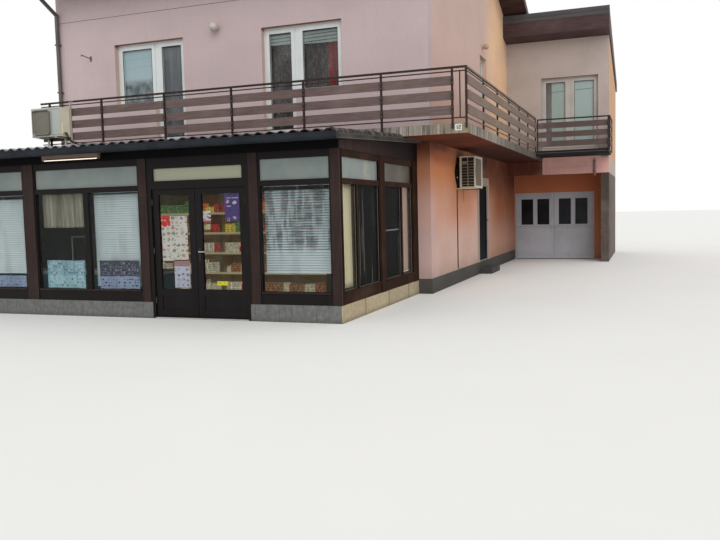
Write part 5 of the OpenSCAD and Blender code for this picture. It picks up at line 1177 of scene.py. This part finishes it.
# %% Shapes of the goods
def lathe(name, outline, sides=20):
    """Turns (radius, height) points round the upright axis."""
    piece = primitive("circle", vertices=sides, radius=outline[0][0], fill_type="NGON")
    bpy.ops.object.mode_set(mode="EDIT")
    bpy.ops.mesh.select_all(action="SELECT")
    for (radius, height), (next_radius, next_height) in zip(outline, outline[1:]):
        share = next_radius / radius
        bpy.ops.mesh.extrude_region_move(TRANSFORM_OT_translate={"value": (0, 0, next_height - height)})
        bpy.ops.transform.resize(value=(share, share, 1), center_override=(0, 0, 0))
    bpy.ops.object.mode_set(mode="OBJECT")
    on_all(bpy.ops.mesh.normals_make_consistent, inside=False)
    smooth(35)
    return settle(piece, name)


carton = block("carton", (-0.045, -0.03, 0), (0.045, 0.03, 0.19), 0.002, 2)
bag = block("bag", (-0.05, -0.03, 0), (0.05, 0.03, 0.17), 0.022, 3)
on_corners(bag, lambda spot: spot.z > 0.15, bpy.ops.transform.resize, value=(1.05, 0.15, 1),
           center_override=(0, 0, 0.17))
jar = lathe("jar", [(0.034, 0), (0.038, 0.006), (0.038, 0.085), (0.031, 0.098), (0.031, 0.102),
                    (0.034, 0.102), (0.034, 0.118), (0.030, 0.12)])
bottle = lathe("bottle", [(0.032, 0), (0.035, 0.008), (0.035, 0.15), (0.012, 0.205), (0.012, 0.225),
                          (0.015, 0.225), (0.015, 0.245), (0.012, 0.247)])

# %% Filling the boards
SHELF_FOOT, SHELF_PITCH, SHELF_BOARD, RACK_DEEP = 0.100, 0.395, 0.025, 0.40
shelf_low, shelf_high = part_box("shop_shelves")
rack_low = Vector((shelf_low.x - 1.72, shelf_low.y, shelf_low.z))
board_levels = [shelf_low.z + SHELF_FOOT + k * SHELF_PITCH for k in range(5)]
chance = random.Random(31)
colours = {"orange": (200, 110, 48), "red": (160, 52, 42), "green": (84, 116, 66), "cream": (196, 186, 152),
           "brown": (132, 92, 58), "yellow": (214, 184, 70), "blue": (74, 108, 156)}
rows = (("cream", "brown", "cream", "orange"), ("cream", "brown", "yellow", "cream"),
        ("brown", "red", "cream", "orange"), ("brown", "yellow", "green", "red"),
        ("orange", "red", "green", "yellow"))
placed = {name: [] for name in colours}
for level, kinds in zip(board_levels, rows):
    top = level + SHELF_BOARD + 0.0005
    x = rack_low.x + 0.07
    while x < shelf_high.x - 0.10:
        if abs(x - shelf_low.x) < 0.16:
            x = shelf_low.x + 0.07
        shape = chance.choice((carton, carton, bag, jar, bottle))
        tint = chance.choice(kinds)
        wide = max(corner.co.x for corner in shape.data.vertices)
        for _ in range(chance.choice((1, 2, 2, 3))):
            if x + 2 * wide > shelf_high.x - 0.06:
                break
            for depth in (0.05, 0.13):
                placed[tint] += copies(shape, [(x + wide, shelf_low.y + depth + 0.01 * chance.random(), top)])
            x += 2 * wide + 0.004 + 0.004 * chance.random()
        x += 0.012
for shape in (carton, bag, jar, bottle):
    bpy.data.objects.remove(shape)
for tint, pieces in placed.items():
    if pieces:
        wrap, colour = Finish("packet_" + tint), colours[tint]
        base = wrap.layers(colour,
                           (wrap.noise(38, 2, (1, 1, 0.6)).fade(0.47, 0.55) * 0.75, times(colour, 1.35, 26)),
                           (((wrap.z * 23.0).math("FRACT") < 0.16) * 0.7, times(colour, 0.45)))
        # The glow on the wrappers is painted light for a brightly lit shop.
        wrap.set(base=base, rough=0.4, specular=0.4, glow=base, glow_strength=0.30,
                 normal=wrap.bump(wrap.noise(70, 2), 0.0006, 0.4))
        mount(join("goods_" + tint, pieces), wrap.material)

# %% [markdown]
# A second rack of the same make stands beside the first. The shelf boards carry a cream price rail along
# their front edge, which is what shows most from the street.

# %% Second rack and price rails
rack_right, rack_back = shelf_low.x - 0.004, rack_low.y + RACK_DEEP
build("second_rack", shelf_wood,
      [((rack_low.x, rack_low.y, z), (rack_right, rack_back, z + SHELF_BOARD), 0.002) for z in board_levels]
      + [((x, rack_low.y, rack_low.z), (x + 0.025, rack_back, shelf_high.z), 0.002)
         for x in (rack_low.x, shelf_low.x - 0.030)]
      + [((rack_low.x, rack_back - 0.015, rack_low.z), (rack_right, rack_back, shelf_high.z), 0.002)])
rail_finish = coated("price_rail", (226, 216, 172), (190, 176, 128), 0.4, 0.35)
# The emission on the price rails is painted light, so that the rails read bright.
rail_shader = rail_finish.node_tree.nodes["Principled BSDF"]
rail_shader.inputs["Emission Color"].default_value = ink((220, 208, 160))
rail_shader.inputs["Emission Strength"].default_value = 0.28
rail = block("price_rails", (rack_low.x + 0.002, shelf_low.y - 0.012, board_levels[0] - 0.012),
             (shelf_high.x - 0.002, shelf_low.y - 0.0005, board_levels[0] + SHELF_BOARD + 0.006), 0.002, 2)
mount(repeat(rail, 5, (0, 0, SHELF_PITCH)), rail_finish)

# %% [markdown]
# ## Lit tubes under the eave
# Each lamp is a tray under the boards with a bare tube in two end sockets. The CAD tray stays; the tube
# and its sockets are added below it, inside the lamp's own box.

# %% Tubes
LAMP_Y, LAMP_IN = -0.2, 0.02
lamp_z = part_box("eave_lamps")[0].z
tube_glow = Finish("lamp_tube").set(base=(236, 230, 214), rough=0.3, glow=(255, 236, 222), glow_strength=1.0)
tube_cap = coated("tube_socket", (206, 198, 190), (150, 140, 132), 0.3, 0.4)
for side, lamp_ends in enumerate(((-7.945, -6.775), (-5.3485, -4.1785))):
    ends = (lamp_ends[0] + LAMP_IN, lamp_ends[1] - LAMP_IN)
    build("tube_%d" % side, tube_glow,
          rods=[(*[(x, LAMP_Y, lamp_z + 0.0155) for x in ends], 0.0135, 20)])
    build("tube_ends_%d" % side, tube_cap,
          [((x - 0.012, LAMP_Y - 0.022, lamp_z + 0.0005), (x + 0.012, LAMP_Y + 0.022, lamp_z + 0.05),
            0.004, 2) for x in ends])

# %% [markdown]
# ## Railing bolts
# Every board is held to its post by coach bolts, whose pale heads are dots from the street. A domed
# head is set on each crossing of board and post.

# %% Bolt heads
BOARD_LEVELS, BOLT_APART = (3.446, 3.703, 3.960), 0.045
FRONT_POSTS = (1.073, -0.254, -1.814, -3.374, -4.934, -6.494, -7.867)
STREET, SIDEWAYS = (0, -1, 0), (1, 0, 0)


def dome(at, outward):
    head = primitive("uv_sphere", segments=10, ring_count=6, radius=0.009)
    bpy.ops.object.shade_smooth()
    return settle(head, "railing_bolts", scale=(1, 1, 0.45), location=at,
                  rotation_euler=Vector(outward).to_track_quat("Z", "Y").to_euler())


front_y, rear_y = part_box("front_railing")[0].y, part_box("rear_railing")[0].y + 0.0005
side_low, side_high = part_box("side_railing")
post_step = (side_high.y - side_low.y - 0.036) / 6
spots = [((x, front_y), STREET) for x in FRONT_POSTS]
spots += [((side_high.x, side_low.y + 0.018 + k * post_step), SIDEWAYS) for k in range(7)]
spots += [((x, rear_y), STREET) for x in (1.385, 3.302)]
bolts = [dome((*spot, z + side), outward) for z in BOARD_LEVELS for side in (-BOLT_APART, BOLT_APART)
         for spot, outward in spots]
mount(join("railing_bolts", bolts), coated("bolt_zinc", (132, 122, 116), (88, 78, 74), 0.4, 0.5, shine=0.2))

# %% [markdown]
# ## Outdoor units
# The unit on the balcony has a mesh over its fan, a rounded square of fine wire with a grey dust cloth
# behind. A turned ring would not give its square shape, so a plate with rounded corners is bevelled
# from a block, and thin wires are arrayed over it. The unit on the side wall has a sunk front between
# two lighter edges, and wire louvres across its coil slots.

# %% Mesh covers and louvres
mesh_grey = coated("mesh_grey", (128, 127, 116), (110, 104, 92), 0.4, 0.6, shine=0.15)
wire_grey = coated("wire_grey", (150, 148, 138), (120, 112, 100), 0.4, 0.45, shine=0.2)
louvre_grey = coated("louvre_grey", (122, 112, 94), (88, 80, 68), 0.5, 0.6, shine=0.15)


def rounded_plate(name, low, high, radius, axis, finish):
    """A plate whose outline has round corners; axis is the letter of its thin direction."""
    thin = "xyz".index(axis)
    piece = only(block(name, low, high, 0))
    bpy.ops.object.mode_set(mode="EDIT")
    bpy.ops.mesh.select_all(action="DESELECT")
    bpy.ops.object.mode_set(mode="OBJECT")
    for edge in piece.data.edges:
        a, b = (piece.data.vertices[k].co for k in edge.vertices)
        edge.select = abs(a[thin] - b[thin]) > 1e-5
    bpy.ops.object.mode_set(mode="EDIT")
    bpy.ops.mesh.select_mode(type="EDGE")
    bpy.ops.mesh.bevel(offset=radius, segments=6, affect="EDGES")
    bpy.ops.object.mode_set(mode="OBJECT")
    return mount(piece, finish)


unit_low, unit_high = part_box("ac_unit_front")
unit_y, side_x = unit_low.y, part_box("ac_unit_side")[1].x
rounded_plate("fan_mesh", (-8.022, unit_y - 0.006, 3.478), (-7.572, unit_y - 0.0004, 3.988), 0.05, "y",
              mesh_grey)
wires = [repeat(block("wires", (-8.012, unit_y - 0.0100, 3.497), (-7.582, unit_y - 0.0065, 3.5005), 0), 30,
                (0, 0, 0.0163)),
         repeat(block("wires", (-8.0, unit_y - 0.0120, 3.490), (-7.9955, unit_y - 0.0100, 3.976), 0), 6,
                (0.081, 0, 0))]
mount(join("fan_wires", wires), wire_grey)
build("unit_trim", mesh_grey, [
    ((x0, unit_y - 0.004, z0), (x1, unit_y - 0.0004, z1), 0.001) for x0, x1, z0, z1 in (
        (unit_low.x + 0.004, unit_high.x - 0.004, 3.462, 3.468),
        (unit_low.x + 0.004, unit_high.x - 0.004, 4.004, 4.010), (-7.548, -7.542, 3.462, 4.010))])
rounded_plate("side_fan_mesh", (side_x + 0.0004, 6.470, 2.195), (side_x + 0.007, 7.060, 2.805), 0.04, "x",
              louvre_grey)
bars = block("side_wires", (side_x + 0.0075, 6.480, 2.212), (side_x + 0.0115, 7.050, 2.2155), 0)
mount(repeat(bars, 24, (0, 0, 0.025)), louvre_grey)
fins = repeat(block("coil_louvres", (0.404, 6.3930, 2.2190), (0.686, 6.3965, 2.2300), 0.001), 9,
              (0, 0, 0.064))
label = block("coil_label", (0.412, 6.3905, 2.690), (0.532, 6.3929, 2.742), 0.001)
mount(join("coil_louvres", [fins, label]),
      coated("fin_grey", (150, 142, 126), (110, 102, 90), 0.4, 0.5, shine=0.15))

# %% [markdown]
# Behind the side unit the pipes are wrapped in black foam and bend down to the bracket's pale angle
# iron, and a pale drain hose hangs beside them. On the balcony, pipes come out of a small cover on the
# end of the unit and run back to the wall in one loop.

# %% Pipes and angle iron
def tube_along(name, spots, radius, resolution=6):
    """A pipe through the given points, made a mesh."""
    fresh()
    bpy.ops.curve.primitive_nurbs_path_add()
    path = bpy.context.object
    path.data.splines.clear()
    line = path.data.splines.new("NURBS")
    line.points.add(len(spots) - 1)
    for point, spot in zip(line.points, spots):
        point.co = (*spot, 1)
    line.use_endpoint_u, line.order_u = True, 3
    path.data.resolution_u, path.data.bevel_depth, path.data.bevel_resolution = resolution, radius, 3
    path.data.use_fill_caps = True
    bpy.ops.object.convert(target="MESH")
    piece = settle(bpy.context.object, name)
    smooth(50)
    return piece


WALL_X, LOOP_X = 0.2842, -7.262
pipes = [tube_along("foam_pipes", [(0.333, 6.44, 2.80), (0.318, 6.36, 2.74), (0.306, 6.27, 2.60),
                                   (0.304, 6.24, 2.46), (0.306, 6.30, 2.33), (0.312, 6.38, 2.24),
                                   (0.32, 6.44, 2.18)], 0.019),
         tube_along("foam_pipes", [(0.318, 6.42, 2.83), (0.316, 6.41, 2.50), (0.316, 6.42, 2.17)], 0.024),
         # The black block fills the gap between the unit and the wall: it stands for the pipe bundle there
         # and is also painted shade of that gap.
         block("foam_pipes", (0.286, 6.43, 2.16), (0.352, 6.56, 2.84), 0.012, 2)]
mount(join("foam_pipes", pipes), coated("pipe_foam", (20, 18, 18), (12, 11, 11), 0.4, 0.8, shine=0.1))
hose = tube_along("drain_hose", [(0.312, 6.345, 2.40), (0.306, 6.325, 2.36), (0.303, 6.34, 2.31),
                                 (0.303, 6.37, 2.26)], 0.012)
mount(hose, lamp_white)
build("angle_iron", unit_weathered, [((WALL_X, 6.372, 2.118), (0.742, 6.376, 2.142), 0.001),
                                                   ((WALL_X, 6.376, 2.118), (0.742, 6.396, 2.122), 0.001)])
rounded_plate("valve_cover", (-7.3197, 2.545, 3.490), (-7.3040, 2.690, 3.700), 0.012, "x", unit_cream)
loops = [tube_along("front_pipes", [(-7.306, 2.60 + step, 3.52), (-7.270, 2.61 + step, 3.47),
                                    (LOOP_X, 2.66 + step, 3.34), (LOOP_X, 2.95, 3.27 + step),
                                    (LOOP_X, 3.70, 3.26 + step), (LOOP_X, 4.150, 3.30 + step)], 0.011)
         for step in (0.0, 0.045)]
mount(join("front_pipes", loops), coated("pipe_wrap", (74, 72, 70), (48, 46, 44), 0.4, 0.7, shine=0.1))

# %% [markdown]
# ## Garage leaves and porch
# The leaves have sunk panes in light frames; thin beads go round each pane, a rail crosses under them
# and a seam shows where the frame bars meet. A small rain pipe comes through the beam.

# %% Beads, rails, panes and rain pipe
GARAGE_FACE, PANE_LOW, PANE_HIGH, BEAD_OUT, BEAD_IN = 14.400, 1.088, 1.932, 0.012, 0.004
BEAD = BEAD_OUT + BEAD_IN
pane_dark = Finish("dark_pane")
pane_dark.set(base=pane_dark.blend(pane_dark.noise(2.2, 4).fade(0.3, 0.7), (18, 19, 24), (34, 36, 42)),
              rough=0.12, specular=0.12, normal=pane_dark.bump(pane_dark.noise(1.4, 2), 0.003, 0.1))
for name, panes, x_low, x_high, body in (
        ("leaf_trim_left", ((0.514, 0.894), (1.019, 1.399)), 0.363, 1.539, "garage_leaf_left"),
        ("leaf_trim_right", ((1.687, 2.067), (2.192, 2.572)), 1.547, 2.723, "garage_leaf_right")):
    beads = []
    for x0, x1 in panes:
        left, right_end = x0 - BEAD_OUT, x1 + BEAD_OUT
        beads += [(left, x0 + BEAD_IN, PANE_LOW, PANE_HIGH), (x1 - BEAD_IN, right_end, PANE_LOW, PANE_HIGH),
                  (left, right_end, PANE_LOW, PANE_LOW + BEAD),
                  (left, right_end, PANE_HIGH - BEAD, PANE_HIGH)]
    build(name, garage_white, [
        ((x0, GARAGE_FACE - 0.006, z0), (x1, GARAGE_FACE + 0.004, z1), 0.002) for x0, x1, z0, z1 in beads] + [
        ((x_low + 0.02, GARAGE_FACE - 0.010, z0), (x_high - 0.02, GARAGE_FACE - 0.0004, z1), 0.004, 2)
        for z0, z1 in ((0.995, 1.045), (0.16, 0.20))], body=body)
    build(name + "_panes", pane_dark.material, [
        ((x0 + BEAD_IN, y, PANE_LOW + BEAD), (x1 - BEAD_IN, y + 0.006, PANE_HIGH - BEAD), 0.002)
        for x0, x1 in panes for y in (GARAGE_FACE + 0.010, GARAGE_FACE + 0.0455)], body=body)
PIPE_X = 2.86
build("beam_pipe", coated("beam_pipe_grey", (128, 104, 100), (96, 78, 74), 0.4, 0.5),
      [((PIPE_X - 0.04, 13.140, 2.70), (PIPE_X + 0.04, 13.1895, 2.72), 0.003)],
      [((PIPE_X, 13.150, 3.02), (PIPE_X, 13.150, 2.56), 0.032, 16),
       ((PIPE_X, 13.189, 2.98), (PIPE_X, 13.140, 2.98), 0.030, 16)])

# %% [markdown]
# ## Sashes and seals
# The shop's side panes slide in slim light metal sashes. Only their edge strips catch the light, so each
# pane gets a strip up its far edge and one along its foot. Black seals run round every pane upstairs.

# %% Sash strips and seals
SASH_X, SASH_Z, SEAL = (-0.034, -0.026), (0.470, 2.113), 0.009
strips = [(0.143, 0.150, *SASH_Z)]
for y0, y1 in ((0.140, 0.735), (0.805, 1.835), (2.145, 3.100), (3.170, 3.815)):
    strips += [(y1 - 0.012, y1 - 0.003, *SASH_Z), (y0 + 0.003, y1 - 0.003, 0.4705, 0.4805)]
build("sash_strips", coated("sash_metal", (112, 108, 98), (76, 72, 64), 0.4, 0.4, 0.1, shine=0.2),
      [((SASH_X[0], y0, z0), (SASH_X[1], y1, z1), 0.001) for y0, y1, z0, z1 in strips])
seal = coated("pane_seal", (38, 38, 40), (24, 24, 26), 0.3, 0.7, shine=0.15)
seals = []
for x0, x1, z0, z1, y in ((-3.228, -2.723, 3.460, 5.476, 4.27), (-5.933, -5.428, 3.460, 5.476, 4.27),
                          (-2.453, -1.663, 4.290, 5.476, 4.27), (-6.993, -6.203, 4.290, 5.476, 4.27),
                          (1.450, 2.0075, 3.510, 5.377, 13.3030), (2.2675, 2.825, 3.510, 5.377, 13.3030)):
    x0_in, x1_in, z0_in, z1_in = x0 + SEAL, x1 - SEAL, z0 + SEAL, z1 - SEAL
    seals += [((a, y, b), (c, y + 0.010, d), 0) for a, b, c, d in (
        (x0, z0_in, x0_in, z1_in), (x1_in, z0_in, x1, z1_in), (x0, z0, x1, z0_in), (x0, z1_in, x1, z1))]
build("pane_seals", seal, seals)

# %% [markdown]
# ## Small fittings
# An enamelled number plate hangs on the edge of the slab near the corner, an arm for an old lamp stands
# out from the wall over the outdoor unit, and a pale upright beside that unit is tied to the railing
# and ends in a small hook. A metal threshold closes the gap under the shop's doors, which turn on
# barrel hinges. Under the side door a concrete sill fills the wall, with a worn metal edge.

# %% Plate, arm, upright, threshold, hinges and sill
FIGURE_LEVELS = (3.098, 3.112, 3.127, 3.141, 3.156, 3.170)
ARM_X, POST_X, POST_Y = -7.80, -7.285, 2.785
rounded_plate("number_plate", (1.111, 2.8335, 3.078), (1.235, 2.8366, 3.190), 0.008, "y",
              coated("plate_enamel", (226, 226, 220), (180, 176, 160), 0.3, 0.25))
figures = [(1.142, 1.158, FIGURE_LEVELS[0], FIGURE_LEVELS[-1])]
figures += [(x0, x1, *FIGURE_LEVELS[k:k + 2]) for k, x0, x1 in (
    (4, 1.172, 1.216), (3, 1.202, 1.216), (2, 1.172, 1.216), (1, 1.172, 1.186), (0, 1.172, 1.216))]
build("plate_figures", seal,
      [((x0, 2.8325, z0), (x1, 2.8335, z1), 0) for x0, x1, z0, z1 in figures])
build("lamp_arm", coated("arm_metal", (108, 98, 92), (76, 66, 60), 0.5, 0.5),
      [((ARM_X - 0.03, 4.150, 5.30), (ARM_X + 0.03, 4.1569, 5.42), 0.003)],
      [((ARM_X, 4.1569, 5.36), (ARM_X, 3.83, 5.395), 0.011),
       ((ARM_X, 3.84, 5.40), (ARM_X, 3.84, 5.36), 0.014)])
build("unit_upright", coated("upright_paint", (170, 160, 150), (126, 112, 102), 0.5, 0.5),
      [((POST_X - 0.02, POST_Y - 0.015, 3.2065), (POST_X + 0.02, POST_Y + 0.015, 4.175), 0.004, 2),
       ((POST_X - 0.015, 2.700, 3.2065), (POST_X + 0.015, 2.830, 3.2145), 0.002)],
      [((POST_X, POST_Y, 4.150), (POST_X + 0.08, POST_Y, 4.192), 0.007)])
build("door_threshold", coated("threshold_metal", (182, 180, 176), (120, 116, 110), 0.4, 0.35, 0.3),
      [((-3.338, -0.012, 0.0005), (-1.594, 0.026, 0.020), 0.004, 2)])
hinges = [((x, 0.0185, z + a), (x, 0.0185, z + b), radius, 14) for z in (0.30, 1.12, 1.92)
          for x in (-3.3365, -1.5955)
          for a, b, radius in ((-0.045, 0.045, 0.009), (-0.045, -0.052, 0.006), (0.045, 0.052, 0.006))]
build("door_hinges", coated("hinge_metal", (70, 66, 64), (44, 42, 40), 0.4, 0.45, 0.4),
      rods=hinges)
build("side_sill", base_grey, [((-0.012, 8.8015, 0.0005), (0.304, 9.9485, 0.2990), 0.006, 2),
                                            ((0.272, 8.83, 0.2990), (0.306, 9.92, 0.3035), 0.001)])

# %% [markdown]
# ## Chest and counter behind the windows
# A long blue chest with a pale lid frame stands behind the left panes; from the street only its upper
# edge shows below the blinds. The edge of a counter on two stands catches the light over it. Like the
# second rack they are only part of the looks.

# %% Blue chest and counter edge
CHEST_X, CHEST_Y, COUNTER_Y, LID_X = (-6.98, -3.46), (0.28, 0.88), (0.90, 0.915), (-6.96, -5.19)
grown = [((CHEST_X[0] - out, CHEST_Y[0] - deep, z0), (CHEST_X[1] + out, CHEST_Y[1] + deep, z1),
          edge, segments) for out, deep, z0, z1, edge, segments in (
              (0, -0.02, 0.0005, 0.06, 0.004, 1), (0, 0, 0.06, 0.69, 0.02, 3),
              (0.01, 0.01, 0.69, 0.735, 0.012, 3))]
build("low_chest", coated("chest_blue", (54, 104, 124), (38, 70, 84), 0.4, 0.5, shine=0.2, patches=(
    ({"z": (None, 0.061)}, (34, 34, 36)), ({"z": (0.6905, None)}, (176, 184, 184)))),
      grown + [((x, 0.29, 0.735), (x + 1.70, 0.87, 0.755), 0.006, 2) for x in LID_X])
build("counter_edge", coated("counter_metal", (186, 188, 184), (130, 130, 124), 0.3, 0.4),
      [((x0, COUNTER_Y[0], z0), (x1, COUNTER_Y[1], z1), 0.002) for x0, x1, z0, z1 in (
          (-5.80, -4.90, 1.334, 1.350), (-5.80, -5.78, 0.757, 1.334), (-4.92, -4.90, 0.757, 1.334))])

# %% [markdown]
# ## Eased edges on the plain nodes
# Real boards and frames have no razor edges, and an eased edge catches a line of light. A small bevel
# goes on the nodes that stand nearest the eye.

# %% Bevels
for width, names in (
        (0.003, ("front_railing", "side_railing", "rear_railing", "side_door_frame", "side_door")),
        (0.004, ("shop_front_frame", "shop_door_frame", "shop_door_left", "shop_door_right", "garage_frame",
                 "shop_plinth")),
        (0.005, ("upper_windows", "wing_doors", "wing_fascia")), (0.006, ("shop_side_frame",)),
        (0.008, ("balcony_slab", "base_course"))):
    for name in names:
        ease = nodes[name].modifiers.new("eased", "BEVEL")
        ease.width, ease.segments, ease.limit_method, ease.angle_limit = width, 2, "ANGLE", math.radians(40)
print("eased", sum(1 for thing in nodes.values() if thing.modifiers), "nodes")
